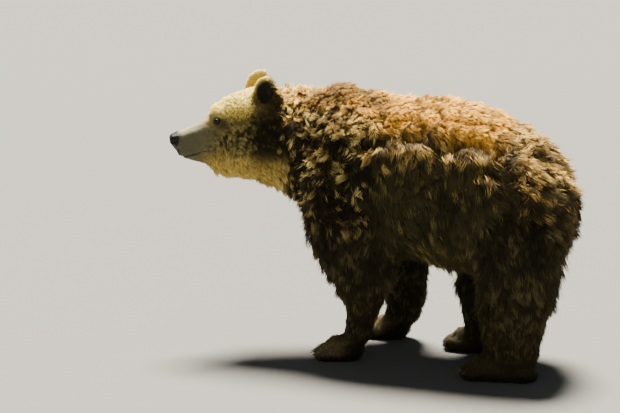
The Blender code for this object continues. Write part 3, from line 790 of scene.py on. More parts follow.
class Markings:
    """The coat's colours at each place of the skin, and the share of its clumps with pale tips, which is
    partly bleaching and partly painted light from above.
    """

    def __init__(self, points, normals, weights):
        named = settings().coat
        self.points, self.upright = points, normals[:, 2]
        self.ahead, self.aside, self.above = folded(on_head(points)).T
        self.of = {part: weights[:, index] for index, part in enumerate(PARTS)}
        self.curly = self.of["neck"] + self.of["shoulder"]
        self.body = self.curly + self.of["flank"] + self.of["rump"] + self.of["back"]
        self.colours = {}
        for layer in LAYERS:
            table = np.array([tuple(getattr(named, getattr(TINTS[part], layer))) for part in PARTS])
            self.colours[layer] = weights @ table
        # Painted light: the parts that face up are taken as lit from above, with a wavering edge.
        self.sunlit = ramp(self.upright + 0.22 * wobble(points, *SUNLIT_EDGE), 0.30, 0.85)
        self.sun = self.bleach_and_light_share()

    def paint(self, colour, share, *layers):
        """Mixes a named colour into these layers."""
        named = getattr(settings().coat, colour)
        for layer in layers:
            self.colours[layer] = mixed(self.colours[layer], named, share)

    def bleach_and_light_share(self):
        """Most over the nape and along the back, less down the sides, and little on the belly and legs; where
        it follows the parts that face up, it is painted light from above.
        """
        of, sunlit, upright, height = self.of, self.sunlit, self.upright, self.points[:, 2]
        mottle = 0.5 + 0.5 * wobble(self.points, *MOTTLE)
        nape = of["neck"] * ramp(upright, 0.25, 0.80) * ramp(height, 0.78, 0.94)
        nape = nape + of["shoulder"] * ramp(upright, 0.05, 0.70) * ramp(height, 0.60, 0.86)
        share = 0.04 + 0.98 * nape + 0.15 * self.curly * mottle
        share += of["flank"] * (0.60 * sunlit + 0.03 * mottle)
        share += of["rump"] * (0.74 * sunlit + 0.14 * mottle)
        share += of["back"] * 0.9 + (of["crown"] + of["ear"] + of["throat"] + of["muzzle"]) * 0.8
        jowl = 0.40 * ramp(self.above, -0.12, 0.0) + 0.35 * ramp(self.above, -0.05, -0.11)
        share += of["cheek"] * (0.15 + 0.25 * mottle + jowl)
        share += of["belly"] * (0.08 + 0.16 * mottle)
        share += (of["elbow"] + of["thigh"] + of["shank"]) * (0.15 + 0.25 * mottle)
        return share

    def mark_body(self):
        """A golden top, a russet hump, fawn rump, and pale patches on the upper flanks. The paler top is
        partly the coat's own colour and partly painted light from above.
        """
        points, of, curly, body = self.points, self.of, self.curly, self.body
        top = ramp(self.upright, 0.35, 0.85)
        # Golden and fawn tips and russet over the parts that face up: partly the coat's own colour, partly
        # painted light from above.
        self.paint("gold", self.sunlit * of["back"], "bright")
        self.paint("fawn", self.sunlit * (of["flank"] + of["rump"]), "bright")
        # Lower on the neck and shoulders, and on the right side, which the lamp from above lights fully, the
        # curls are fawn rather than tan: painted shade.
        low, right_side = ramp(points[:, 2], 0.72, 0.58), ramp(-points[:, 0], -0.02, 0.12)
        self.paint("fawn", 0.7 * curly * np.maximum(low, right_side), "bright")
        self.paint("gold", top * curly * 0.7, "bright")
        self.paint("russet", top * body * 0.7, "tip")
        self.paint("russet", top * body * 0.35, "root")
        # Painted pools of light on the upper flanks, as pale clumps.
        pale = sum(
            spot(points[:, 1], points[:, 2], (patch.along, patch.height), (LIT_PATCH_LENGTH, patch.reach))
            for patch in LIT_PATCHES
        )
        pale *= ramp(self.upright, 0.75, 0.45) * body
        self.paint("fawn", pale * 0.7, "bright")
        self.sun += pale * 0.8
        hump = gauss(points[:, 1], HUMP_PLACE, HUMP_LENGTH) * ramp(self.upright, 0.40, 0.75) * body
        self.paint("russet", hump, "tip", "bright")

    def mark_head(self):
        """Painted shadow behind and under the ears, painted shade round the eyes under the brows, a painted
        highlight on the brows, a pale stop, and a bridge of the muzzle that is paler where it faces up,
        partly as painted light from above.
        """
        ahead, aside, above, muzzle = self.ahead, self.aside, self.above, self.of["muzzle"]
        edge = ahead + 0.012 * wobble(self.points, *NAPE_EDGE)
        # Painted shadow behind and under the ears, with fewer pale tips there.
        ear_shadow = 0.88 * ramp(edge, -0.085, -0.155) * ramp(edge, -0.255, -0.212) * ramp(above, 0.13, 0.08)
        ear_shadow *= ramp(aside, 0.05, 0.08) * ramp(above, -0.21, -0.10)
        self.sun *= 1 - 0.8 * ear_shadow
        self.paint("dark", ear_shadow, *LAYERS)
        # Painted shade round the eyes, under the brows.
        from_eye = np.hypot(ahead + 0.004, (above + 0.006) * 1.3)
        self.paint("umber", 0.95 * ramp(from_eye, 0.040, 0.018) * ramp(aside, 0.03, 0.05), *LAYERS)
        # A painted highlight where the brows catch the light from above.
        brow = spot(ahead, above, (-0.014, 0.022), (0.016, 0.0075)) * ramp(aside, 0.03, 0.05)
        self.paint("blond", brow, "tip", "bright")
        stop_edge = ahead + 0.008 * wobble(self.points, *STOP_EDGE)
        stop = 0.6 * muzzle * ramp(stop_edge, 0.095, 0.015) * ramp(above, -0.045, 0.0)
        self.paint("straw", stop, "tip", "bright")
        # The bridge is paler where it faces up: partly its own colour, partly painted light from above.
        bridge = 0.8 * muzzle * ramp(self.upright, 0.35, 0.90) * ramp(ahead, 0.020, 0.060)
        self.paint("bridge", bridge, "tip", "bright")

    def mark_paws(self):
        """Pale grey backs of the toes, most on the forepaws and where they face up, as painted light; and
        painted shade in the gaps between them.
        """
        furrow, knuckle = between_toes(self.points)
        fore = ramp(self.points[:, 1], 0.15, 0.05)
        # Painted light: the toes are paler where they face up, and most on the forepaws.
        worn = self.of["paw"] * (0.55 + 0.45 * knuckle) * (0.20 + 0.80 * fore) * ramp(self.upright, -0.3, 0.4)
        self.paint("paw_grey", worn, "tip", "bright")
        # Painted shade in the gaps between the toes.
        self.paint("dark", 0.7 * furrow, "tip", "bright")

    def mark_hollows(self, hollow):
        """Painted shade in the hollows of the ears, partly over darker inner hair, and in the gaps between
        the lobes of the coat.
        """
        # Painted shade in the hollows of the ears, partly over their darker inner hair.
        self.paint("dark", hollow, *LAYERS)
        # Painted shade in the gaps between the lobes, where the pale tips are also fewer.
        gap_shade = (1 - lobes(self.points)) * (self.body + self.of["thigh"] + self.of["elbow"]) * 0.72
        self.paint("dark", gap_shade, "tip")
        self.paint("umber", gap_shade, "bright")
        self.sun = np.clip(self.sun * (1 - 0.6 * gap_shade), 0, 1)


def flow_over(points, normals, weights):
    """The way the coat lies along the skin: to the rear and down, out over the ears, forwards on the paws."""
    shares = weights @ table_of(["back", "down", "out"])
    ear, muzzle = weights[:, PARTS.index("ear")], weights[:, PARTS.index("muzzle")]
    headward = ramp(on_head(points)[:, 0], -0.30, -0.12)[:, None]
    rear = unit(REAR * (1 - headward) - AHEAD * headward)
    outward = np.stack([np.sign(points[:, 0]), np.zeros(len(points)), np.zeros(len(points))], axis=1)
    flow = rear * shares[:, :1] + DOWN * shares[:, 1:2] + outward * shares[:, 2:3]
    for side in SIDES:
        centre, front, _, up = ear_frame(side)
        away = unit(points - (centre - up * 0.030) - front * 0.3 * ((points - centre) @ front)[:, None])
        near = ear * (np.linalg.norm(points - centre, axis=1) < 0.12)
        flow = flow * (1 - near[:, None]) + away * near[:, None]
    swirl = np.radians(26) * wobble(points, *SWIRL) + np.radians(20) * wobble(points, *RIPPLE)
    swirl *= 1 - muzzle - ear
    flow -= normals * np.sum(flow * normals, axis=1, keepdims=True)
    flow = unit(flow)
    sideways = np.cross(normals, flow)
    return flow * np.cos(swirl)[:, None] + sideways * np.sin(swirl)[:, None]


# What the coat has to know of the finished skin that it grows on, one row for each of the skin's vertices.
HIDE = SimpleNamespace()


def shape_skin():
    skin = one_skin()
    mesh = skin.data
    edges = edges_of(mesh)
    points, normals = points_of(mesh), normals_of(mesh)
    samples, owners = solid_samples()
    HIDE.owners = owners[nearest(samples, points)]
    weights = part_weights(points, normals, edges, HIDE.owners)
    points = sink_under_coat(points, normals, edges, weights)
    points = hollow_ears(points, normals)
    set_points(mesh, points)
    points = shape_face(points, normals_of(mesh))
    points = shape_lids(points)
    points = shape_toes(points, normals_of(mesh))
    points[:, 2] = np.maximum(points[:, 2], 0.0)
    set_points(mesh, points)
    normals = normals_of(mesh)
    HIDE.points, HIDE.normals, HIDE.weights = points, normals, weights
    HIDE.bare, HIDE.in_ear = bare_share(points, normals), in_ear(points, normals)
    markings = Markings(points, normals, weights)
    markings.mark_body()
    markings.mark_head()
    markings.mark_paws()
    markings.mark_hollows(HIDE.in_ear)
    HIDE.colours, HIDE.sun = markings.colours, markings.sun
    tips = mixed(HIDE.colours["tip"], HIDE.colours["bright"], HIDE.sun)
    store(mesh, "root_colour", "FLOAT_COLOR", HIDE.colours["root"])
    store(mesh, "tip_colour", "FLOAT_COLOR", tips)
    store(mesh, "bare", "FLOAT", HIDE.bare)
    return skin


# Materials


class Nodes:
    """A material's nodes, added and linked by short calls."""

    def __init__(self, name):
        self.material = bpy.data.materials.new(name)
        self.material.use_nodes = True
        self.tree = self.material.node_tree
        self.shader = self.tree.nodes["Principled BSDF"]

    def add(self, kind, inputs=None, **values):
        node = self.tree.nodes.new(kind)
        for name, value in values.items():
            setattr(node, name, value)
        for name, value in (inputs or {}).items():
            self.put(node.inputs[name], value)
        return node

    def put(self, socket, value):
        if isinstance(value, bpy.types.NodeSocket):
            self.tree.links.new(value, socket)
        else:
            socket.default_value = value

    def attribute(self, name, output="Color"):
        return self.add("ShaderNodeAttribute", attribute_name=name).outputs[output]

    def place(self):
        return self.add("ShaderNodeTexCoord").outputs["Object"]

    def mapped(self, vector, **turns):
        return self.add("ShaderNodeMapping", {"Vector": vector, **turns}).outputs["Vector"]

    def noise(self, vector, scale, detail=3.0, roughness=0.55):
        inputs = {"Vector": vector, "Scale": scale, "Detail": detail, "Roughness": roughness}
        return self.add("ShaderNodeTexNoise", inputs).outputs["Fac"]

    def cells(self, vector, scale):
        """How far each place lies from the border between two cells, as on pebbled leather."""
        inputs = {"Vector": vector, "Scale": scale}
        return self.add("ShaderNodeTexVoronoi", inputs, feature="DISTANCE_TO_EDGE").outputs["Distance"]

    def stretch(self, value, low, high, start=0.0, end=1.0):
        inputs = {"Value": value, "From Min": start, "From Max": end, "To Min": low, "To Max": high}
        return self.add("ShaderNodeMapRange", inputs).outputs["Result"]

    def vary(self, noise, low, high):
        """A noise, which lies mostly between 0.3 and 0.7, stretched over another range."""
        return self.stretch(noise, low, high, 0.3, 0.7)

    def math(self, operation, first, second=0.0):
        return self.add("ShaderNodeMath", {0: first, 1: second}, operation=operation).outputs[0]

    def mix(self, share, first, second, kind="RGBA", blend="MIX"):
        inputs = {"Factor": share, "A": first, "B": second}
        return self.add("ShaderNodeMix", inputs, data_type=kind, blend_type=blend).outputs["Result"]

    def scaled(self, colour, amount):
        """A colour made lighter or darker by a number."""
        grey = self.add("ShaderNodeCombineColor", {"Red": amount, "Green": amount, "Blue": amount}).outputs[0]
        return self.mix(1.0, colour, grey, blend="MULTIPLY")

    def bump(self, height, strength, distance):
        made = self.add("ShaderNodeBump", {"Height": height, "Strength": strength, "Distance": distance})
        self.put(self.shader.inputs["Normal"], made.outputs["Normal"])

    def finish(self, colour, roughness, **constants):
        self.put(self.shader.inputs["Base Color"], colour)
        self.put(self.shader.inputs["Roughness"], roughness)
        for name, value in constants.items():
            self.shader.inputs[name.replace("_", " ").title().replace("Ior", "IOR")].default_value = value
        return self.material


def opaque(colour):
    return (*colour, 1.0)


def skin_material():
    """Short down in the colours of the coat over it, and creased leather where the skin is bare."""
    n = Nodes("hide")
    place = n.place()
    patches = n.noise(place, scale=9.0, detail=4.0)
    along_face = n.mapped(place, Rotation=(0.0, 0.0, HEAD_TURN), Scale=(1.0, 0.22, 1.0))
    fuzz = n.noise(along_face, scale=520.0, roughness=0.65)
    down = n.mix(n.vary(fuzz, 0.25, 0.85), n.attribute("root_colour"), n.attribute("tip_colour"))
    down = n.scaled(down, n.vary(patches, 0.7, 1.2))
    bare = n.attribute("bare", "Fac")
    creases = n.cells(place, scale=480.0)
    # The leather is darker along its creases: painted shade.
    leather = n.scaled(opaque(settings().skin.leather), n.stretch(creases, 0.6, 1.8, 0.0, 0.3))
    n.bump(n.mix(bare, fuzz, creases, kind="FLOAT"), strength=0.45, distance=0.0012)
    return n.finish(
        n.mix(bare, down, leather), n.stretch(bare, 0.85, 0.42),
        sheen_weight=0.04, sheen_roughness=0.6, specular_ior_level=0.15,
    )


def coat_material():
    """Locks that pass from the root's colour to the tip's, streaked by their strands."""
    n = Nodes("coat")
    lock = n.add("ShaderNodeSeparateXYZ", {"Vector": n.attribute("lock", "Vector")})
    along, around, chance = (lock.outputs[axis] for axis in "XYZ")
    finely, slowly = n.math("MULTIPLY", around, 5.0), n.math("MULTIPLY", along, 1.6)
    apart = n.math("MULTIPLY", chance, 90.0)
    strands_at = n.add("ShaderNodeCombineXYZ", {"X": finely, "Y": slowly, "Z": apart}).outputs["Vector"]
    strands = n.noise(strands_at, scale=1.6, roughness=0.6)
    patches = n.noise(n.place(), scale=11.0)
    toward_tip = n.math("ADD", along, n.vary(strands, -0.25, 0.25))
    fade_range = {"Value": toward_tip, "From Min": 0.15, "From Max": 0.78}
    fade = n.add("ShaderNodeMapRange", fade_range, interpolation_type="SMOOTHSTEP").outputs["Result"]
    # The dark roots are partly the coat's own colour and partly painted shade deep among the locks.
    colour = n.mix(fade, n.attribute("root_colour"), n.attribute("tip_colour"))
    colour = n.scaled(colour, n.stretch(strands, 0.70, 1.32, 0.25, 0.75))
    colour = n.scaled(colour, n.vary(patches, 0.82, 1.18))
    n.bump(strands, strength=0.5, distance=0.001)
    return n.finish(
        colour, n.vary(strands, 0.55, 0.75),
        sheen_weight=0.08, sheen_roughness=0.45, sheen_tint=(1.0, 0.75, 0.40, 1.0), specular_ior_level=0.08,
    )


# Coat

SEED = 11
# How far the locks' normals turn to those of the skin under them, so that the coat shades softly.
SOFTNESS = 0.60
# Strays belong to no clump and stand up further, by this many degrees.
STRAY_SHARE, STRAY_LIFT = 0.05, 14
# How deep a lock's root lies in the skin, how near the floor a lock comes, and how far a clump draws its tip.
ROOT_DEPTH, LEAST_HEIGHT, TIP_DRAW = 0.0015, 0.0015, 0.78
# How far, in radians, a curl leans to the side and the path of a lock turns and rises by chance at each step.
LEAN, STEP_TURN, STEP_RISE = 1.9, 0.3, 0.15
# The pull of its weight on a lock's tip, and the least climb of its way from the skin.
DROOP, LEAST_CLIMB = 0.35, 0.05
# The share of what stands out of the solids' box that is pressed back.
PRESSED_BACK = 0.65
PATCH_SIDE = 0.003

# The coat is cut into pieces by the solids and, on the trunk, by its length: one mesh would be too heavy.
Cut = namedtuple("Cut", "name segments slot")
CUTS = [
    Cut("coat_face", 2, "pale_fur"),
    Cut("coat_head", 2, "pale_fur"),
    Cut("coat_neck", 3, "brown_fur"),
    *(Cut(f"coat_shoulder_{side}", 3, "brown_fur") for side in SIDES),
    *(Cut(f"coat_flank_{side}", 2, "brown_fur") for side in SIDES),
    *(Cut(f"coat_rump_{side}", 3, "brown_fur") for side in SIDES),
    *(Cut(f"coat_{end}leg_{side}", 2, "dark_fur") for end, side in LEGS),
    Cut("coat_paws", 2, "dark_fur"),
]


def cut_of(points, owners):
    """The index in CUTS of the piece that each place belongs to."""
    node = np.array(FLESH_NODES)[owners]
    side = np.where(points[:, 0] > 0, "left", "right")
    along = along_body(points)
    stretch = np.select([along < SHOULDER_END, along < FLANK_END], ["shoulder", "flank"], "rump")
    name = np.char.add(np.char.add(np.char.add("coat_", stretch), "_"), side).astype("<U24")
    name[node == "neck"] = "coat_neck"
    on_skull = np.isin(node, ["head", "jaw"] + EAR_NODES)
    name[on_skull] = np.where(on_head(points[on_skull])[:, 0] > FACE_END, "coat_face", "coat_head")
    for end, which in LEGS:
        name[np.isin(node, [f"{end}leg_{which}_upper", f"{end}leg_{which}_lower"])] = f"coat_{end}leg_{which}"
    name[np.isin(node, PAW_NODES)] = "coat_paws"
    names = [cut.name for cut in CUTS]
    return np.array([names.index(one) for one in name])


def unwrap(skin, cut_by_vertex):
    """Unwraps the skin under each piece of coat over the whole of its own map."""
    mesh = skin.data
    first = column(mesh.polygons, "loop_start", 1, np.int32)[:, 0]
    loop_vertices = column(mesh.loops, "vertex_index", 1, np.int32)[:, 0]
    cut_by_face = cut_by_vertex[loop_vertices[first]]
    mesh.uv_layers.new(name="OFBake")
    select_only(skin)
    for index in range(len(CUTS)):
        mesh.polygons.foreach_set("select", cut_by_face == index)
        bpy.ops.object.mode_set(mode="EDIT")
        bpy.ops.uv.smart_project(angle_limit=math.radians(70), island_margin=0.004)
        bpy.ops.object.mode_set(mode="OBJECT")
    spots = column(mesh.uv_layers["OFBake"].uv, "vector", 2)
    mesh.uv_layers.remove(mesh.uv_layers["OFBake"])
    return spots


class Roots:
    """Where the locks of one piece grow, and how: each field has one row for each lock."""

    def __init__(self, rng, corners, spots, density):
        points = HIDE.points[corners]
        areas = np.linalg.norm(np.cross(points[:, 1] - points[:, 0], points[:, 2] - points[:, 0]), axis=1) / 2
        expected = np.cumsum(areas * density[corners].mean(axis=1))
        count = int(expected[-1])
        picks = (np.arange(count) + rng.random(count)) * expected[-1] / count
        triangle = np.minimum(np.searchsorted(expected, picks), len(corners) - 1)
        u, v = rng.random(count), rng.random(count)
        flip = u + v > 1
        u[flip], v[flip] = 1 - u[flip], 1 - v[flip]
        self.count = count
        self.shares = np.stack([1 - u - v, u, v], axis=1)
        self.corners = corners[triangle]
        self.spots = (self.shares[:, :, None] * spots[triangle]).sum(axis=1)
        self.points, self.weights = self.read(HIDE.points), self.read(HIDE.weights)
        self.normals, self.flow = unit(self.read(HIDE.normals)), self.read(HIDE.flow)
        self.flow = unit(self.flow - self.normals * np.sum(self.flow * self.normals, axis=1, keepdims=True))
        self.shape = dict(zip(SHAPE_COLUMNS, (self.weights @ table_of(SHAPE_COLUMNS)).T))
        self.colours = {layer: self.read(HIDE.colours[layer]) for layer in LAYERS}
        self.sun = self.read_one(HIDE.sun)
        # Locks are half as long in the hollows of the ears, and shortest round the eyes.
        self.trim = 1 - 0.5 * self.read_one(HIDE.in_ear)
        self.trim *= 0.30 + 0.70 * ramp(to_eyes(self.points), EYE_RADIUS + 0.004, EYE_RADIUS + 0.040)
        hairy = [PARTS.index(part) for part in ("thigh", "elbow", "shank", "rump")]
        self.fringe = self.weights[:, hairy].sum(axis=1)

    def read(self, values):
        return (self.shares[:, :, None] * values[self.corners]).sum(axis=1)

    def read_one(self, values):
        return (self.shares * values[self.corners]).sum(axis=1)


def clumped(roots, rng):
    """The index of each lock's leader, which is the nearest of the locks that lead."""
    leading = np.flatnonzero(rng.random(roots.count) * roots.shape["members"] < 1)
    return leading[nearest(roots.points[leading], roots.points)]


def swung(first, second, angle):
    """The first way, turned towards the second one by an angle of its own for each row."""
    return first * np.cos(angle)[:, None] + second * np.sin(angle)[:, None]


def lock_paths(roots, rng, segments, leaders):
    """The middle line of every lock, from root to tip. Locks of one clump share its lift, curl and swing."""
    chance = rng.random((roots.count, 6))
    stray = rng.random(roots.count) < STRAY_SHARE
    blend = np.where(stray, 0, roots.shape["clump"])[:, None]
    chance = chance * (1 - blend) + chance[leaders] * blend
    rearward = np.clip(roots.normals[:, 1], 0, 1) * roots.fringe
    length = roots.shape["length"] * roots.trim * (0.70 + 0.55 * chance[:, 0] + 0.35 * rearward)
    length = length * settings().coat.length
    lift = np.radians(roots.shape["lift"] * (0.55 + 0.9 * chance[:, 1]) + 10 * rearward)
    lift = lift + np.radians(STRAY_LIFT) * stray
    curl = np.radians(roots.shape["curl"]) * (0.25 + 0.95 * chance[:, 2])
    lean = (chance[:, 5] * 2 - 1) * LEAN
    swing = np.radians(roots.shape["wave"]) * (chance[:, 3] * 2 - 1) * 1.8
    phase = chance[:, 4] * 2 * math.pi
    side = np.cross(roots.normals, roots.flow)
    step = (length / segments)[:, None]
    path = [roots.points - roots.normals * ROOT_DEPTH]
    for index in range(segments):
        t = (index + 0.5) / segments
        turn = swing * np.sin(phase + t * 4.2) + (rng.random(roots.count) - 0.5) * STEP_TURN
        rise = lift * (1 - 0.55 * t) + (rng.random(roots.count) - 0.5) * STEP_RISE
        ahead = swung(roots.flow, side, turn)
        hook = swung(swung(roots.normals, -ahead, rise), side, lean)
        way = swung(swung(ahead, roots.normals, rise), hook, curl * t**1.5)
        way = unit(way + DOWN * DROOP * t)
        climb = np.sum(way * roots.normals, axis=1)
        way = unit(way + roots.normals * np.maximum(0, LEAST_CLIMB - climb)[:, None])
        path.append(path[-1] + way * step)
    paths = np.stack(path, axis=1)
    t = np.linspace(0, 1, segments + 1)
    draw = blend * t[None, :] ** 1.5 * TIP_DRAW * roots.trim[:, None]
    paths = paths * (1 - draw[:, :, None]) + paths[leaders] * draw[:, :, None]
    paths[:, :, 2] = np.maximum(paths[:, :, 2], LEAST_HEIGHT)
    return held_in(paths)


def held_in(paths):
    """Presses what stands out of the solids' box most of the way back to it, except at the floor."""
    low, high = (np.array(corner) for corner in SOLID_BOX)
    low[2] = -1.0
    past, short = np.maximum(paths - high, 0), np.maximum(low - paths, 0)
    return paths - past * PRESSED_BACK + short * PRESSED_BACK


def lock_points(roots, rng, paths):
    """The points of every lock: its root, three round the middle line at each step, and its tip."""
    segments = paths.shape[1] - 1
    t = np.linspace(0, 1, segments + 1)[1:-1]
    profile = 1.15 - 0.45 * t
    tangent = unit(paths[:, 2:] - paths[:, :-2])
    across = unit(np.cross(tangent, np.broadcast_to(roots.normals[:, None, :], tangent.shape)))
    over = np.cross(tangent, across)
    stoutness = (0.7 + 0.6 * rng.random(roots.count))[:, None]
    half = roots.shape["width"][:, None] * profile[None, :] * stoutness / 2
    roll = (rng.random(roots.count) * 2 - 1)[:, None]
    rings = []
    for corner in range(3):
        angle = roll + corner * 2 * math.pi / 3 + math.pi / 2
        out = across * np.cos(angle)[:, :, None] * 1.25 + over * np.sin(angle)[:, :, None] * 0.80
        rings.append(paths[:, 1:-1] + out * half[:, :, None])
    rings = np.stack(rings, axis=2).reshape(roots.count, -1, 3)
    rings[:, :, 2] = np.maximum(rings[:, :, 2], 0.0005)
    return np.concatenate([paths[:, :1], rings, paths[:, -1:]], axis=1)


def lock_faces(segments):
    """Corner numbers of one lock's faces: the sides, then three at the root and three at the tip."""
    faces = []
    for ring in range(segments - 2):
        first = 1 + ring * 3
        faces += [(first + k, first + (k + 1) % 3, first + 3 + (k + 1) % 3, first + 3 + k) for k in range(3)]
    last, tip = 1 + (segments - 2) * 3, 1 + (segments - 1) * 3
    faces += [(0, 1 + (k + 1) % 3, 1 + k) for k in range(3)]
    faces += [(last + k, last + (k + 1) % 3, tip) for k in range(3)]
    return faces


def lock_mesh(name, points, segments):
    """(mesh, vertex of each loop) of the locks of one piece."""
    count, each = points.shape[:2]
    faces = lock_faces(segments)
    corners = np.array([corner for face in faces for corner in face], np.int64)
    sizes = np.array([len(face) for face in faces])
    vertex_index = (np.arange(count)[:, None] * each + corners[None, :]).ravel()
    loop_starts = np.concatenate([[0], np.cumsum(sizes)[:-1]])
    starts = (np.arange(count)[:, None] * len(corners) + loop_starts[None, :]).ravel()
    mesh = bpy.data.meshes.new(name)
    mesh.vertices.add(count * each)
    mesh.loops.add(len(vertex_index))
    mesh.polygons.add(len(starts))
    mesh.vertices.foreach_set("co", points.astype(np.float32).ravel())
    mesh.loops.foreach_set("vertex_index", vertex_index.astype(np.int32))
    mesh.polygons.foreach_set("loop_start", starts.astype(np.int32))
    mesh.polygons.foreach_set("use_smooth", np.ones(len(starts), bool))
    mesh.update(calc_edges=True)
    return mesh, vertex_index


def soften(mesh, under):
    """Turns the normals of the locks part of the way to those of the skin under them."""
    turned = unit(normals_of(mesh) * (1 - SOFTNESS) + under * SOFTNESS)
    mesh.normals_split_custom_set_from_vertices(turned.tolist())


def grown(name, roots, rng, segments):
    """One mesh of all the locks of a piece, with their colours and their patches on the unwrapped skin."""
    leaders = clumped(roots, rng)
    points = lock_points(roots, rng, lock_paths(roots, rng, segments, leaders))
    count, each = points.shape[:2]
    mesh, vertex_index = lock_mesh(name, points, segments)
    soften(mesh, np.repeat(roots.normals, each, axis=0))
    steps = np.linspace(0, 1, segments + 1)
    along = np.concatenate([[0.0], np.repeat(steps[1:-1], 3), [1.0]])
    around = np.concatenate([[0.5], np.tile([0.0, 0.5, 1.0], segments - 1), [0.5]])
    own, shared = rng.random(count), rng.random(count)[leaders]
    field = np.empty((count, each, 3))
    field[:, :, 0], field[:, :, 1], field[:, :, 2] = along, around, own[:, None]
    store(mesh, "lock", "FLOAT_VECTOR", field.reshape(-1, 3))
    tone = 0.76 + 0.18 * own + 0.30 * shared
    # The share of clumps with pale tips is partly bleaching and partly painted light from above.
    bleached = ramp(roots.sun + 0.24 * (own - 0.5) - rng.random(count)[leaders], -0.12, 0.12)
    tip = mixed(roots.colours["tip"], roots.colours["bright"], bleached) * tone[:, None]
    root = roots.colours["root"] * tone[:, None]
    store(mesh, "root_colour", "FLOAT_COLOR", np.repeat(root, each, axis=0))
    store(mesh, "tip_colour", "FLOAT_COLOR", np.repeat(np.clip(tip, 0, 1), each, axis=0))
    # Each lock has a small patch of the map, round the spot that it grows on.
    patch = np.stack([around - 0.5, along - 0.5], axis=1) * PATCH_SIDE
    spots = roots.spots[:, None, :] * (1 - 2 * PATCH_SIDE) + PATCH_SIDE + patch[None, :, :]
    layer = mesh.uv_layers.new(name="OFBake")
    layer.uv.foreach_set("vector", spots.reshape(-1, 2)[vertex_index].astype(np.float32).ravel())
    return mesh


def grow_coat(skin):
    """Grows every piece of the coat on the finished skin."""
    rng = np.random.default_rng(SEED)
    HIDE.flow = flow_over(HIDE.points, HIDE.normals, HIDE.weights)
    density = HIDE.weights @ table_of(["density"])[:, 0] * settings().coat.density
    density = density * ramp(HIDE.bare, 0.55, 0.25) * (1 - 0.4 * HIDE.in_ear)
    cut_by_vertex = cut_of(HIDE.points, HIDE.owners)
    spots = unwrap(skin, cut_by_vertex)
    corners, loops = triangles_of(skin.data)
    cut_by_triangle = cut_by_vertex[corners[:, 0]]
    material = coat_material()
    for index, cut in enumerate(CUTS):
        own = cut_by_triangle == index
        roots = Roots(rng, corners[own], spots[loops[own]], density)
        mesh = grown(cut.name, roots, rng, cut.segments)
        piece = new_object(cut.name, mesh)
        mesh.materials.append(material)
        finish_piece(piece, cut.slot)


# Eyes, nose and claws

# The border of the pupil and that of the white, as the cosine of the angle from the middle of the cornea.
PUPIL_EDGE, WHITE_EDGE = (0.915, 0.945), (0.55, 0.66)
BLACK, WHITE_IN_SHADE = (0.002, 0.002, 0.002, 1.0), (0.012, 0.008, 0.006, 1.0)
CORNEA_HEIGHT = 0.0012


def eye_material(side):
    """A brown iris with its fibres, a pupil and a dark white, under a clear gloss."""
    centre, look, _, _ = eye_frame(side)
    n = Nodes(f"eye_{side}")
    place = n.mapped(n.place(), Location=tuple(-centre))
    facing = n.add("ShaderNodeVectorMath", {0: place, 1: tuple(look / EYE_RADIUS)}, operation="DOT_PRODUCT")
    facing = facing.outputs["Value"]
    fibres = n.noise(place, scale=900.0)
    iris = n.scaled(opaque(settings().features.iris), n.vary(fibres, 0.5, 2.2))
    colour = n.mix(n.stretch(facing, 0.0, 1.0, *PUPIL_EDGE), iris, BLACK)
    colour = n.mix(n.stretch(facing, 1.0, 0.0, *WHITE_EDGE), colour, WHITE_IN_SHADE)
    return n.finish(colour, 0.22, coat_weight=0.22, coat_roughness=0.05, specular_ior_level=0.15)


def make_eyes():
    for side in SIDES:
        centre, look, along, _ = eye_frame(side)
        bpy.ops.object.select_all(action="DESELECT")
        bpy.ops.mesh.primitive_uv_sphere_add(
            segments=48, ring_count=32, radius=EYE_RADIUS, location=(0, 0, 0)
        )
        ball = bpy.context.object
        ball.name = ball.data.name = f"eyeball_{side}"
        points = points_of(ball.data)
        ring = np.hypot(points[:, 0], points[:, 1]) / EYE_RADIUS
        cornea = ramp(points[:, 2], 0.4 * EYE_RADIUS, 0.9 * EYE_RADIUS) * CORNEA_HEIGHT
        points[:, 2] += cornea * (1 - ring**2)
        turned = points @ np.array((along, np.cross(look, along), look))
        set_points(ball.data, turned + centre)
        dress(ball, eye_material(side))
        finish_piece(ball, "eye", f"eye_{side}")


def nose_material():
    """Damp pebbled leather."""
    n = Nodes("nose_leather")
    place = n.place()
    pebbles = n.cells(place, scale=620.0)
    damp = n.noise(place, scale=60.0)
    # The leather is darker between its pebbles: painted shade.
    colour = n.scaled(opaque(settings().features.nose), n.stretch(pebbles, 0.5, 1.8, 0.0, 0.35))
    n.bump(n.stretch(pebbles, 0.0, 1.0, 0.0, 0.3), strength=0.45, distance=0.0005)
    return n.finish(
        colour, n.vary(damp, 0.34, 0.56), coat_weight=0.06, coat_roughness=0.25, specular_ior_level=0.22
    )


# How far the nose's wings stand out, and how deep its split, slits, nostrils and covered edge lie.
WING_HEIGHT, SPLIT_DEPTH, SLIT_DEPTH, HOLE_DEPTH, EDGE_DEPTH = 0.0013, 0.0020, 0.0042, 0.0115, 0.0060


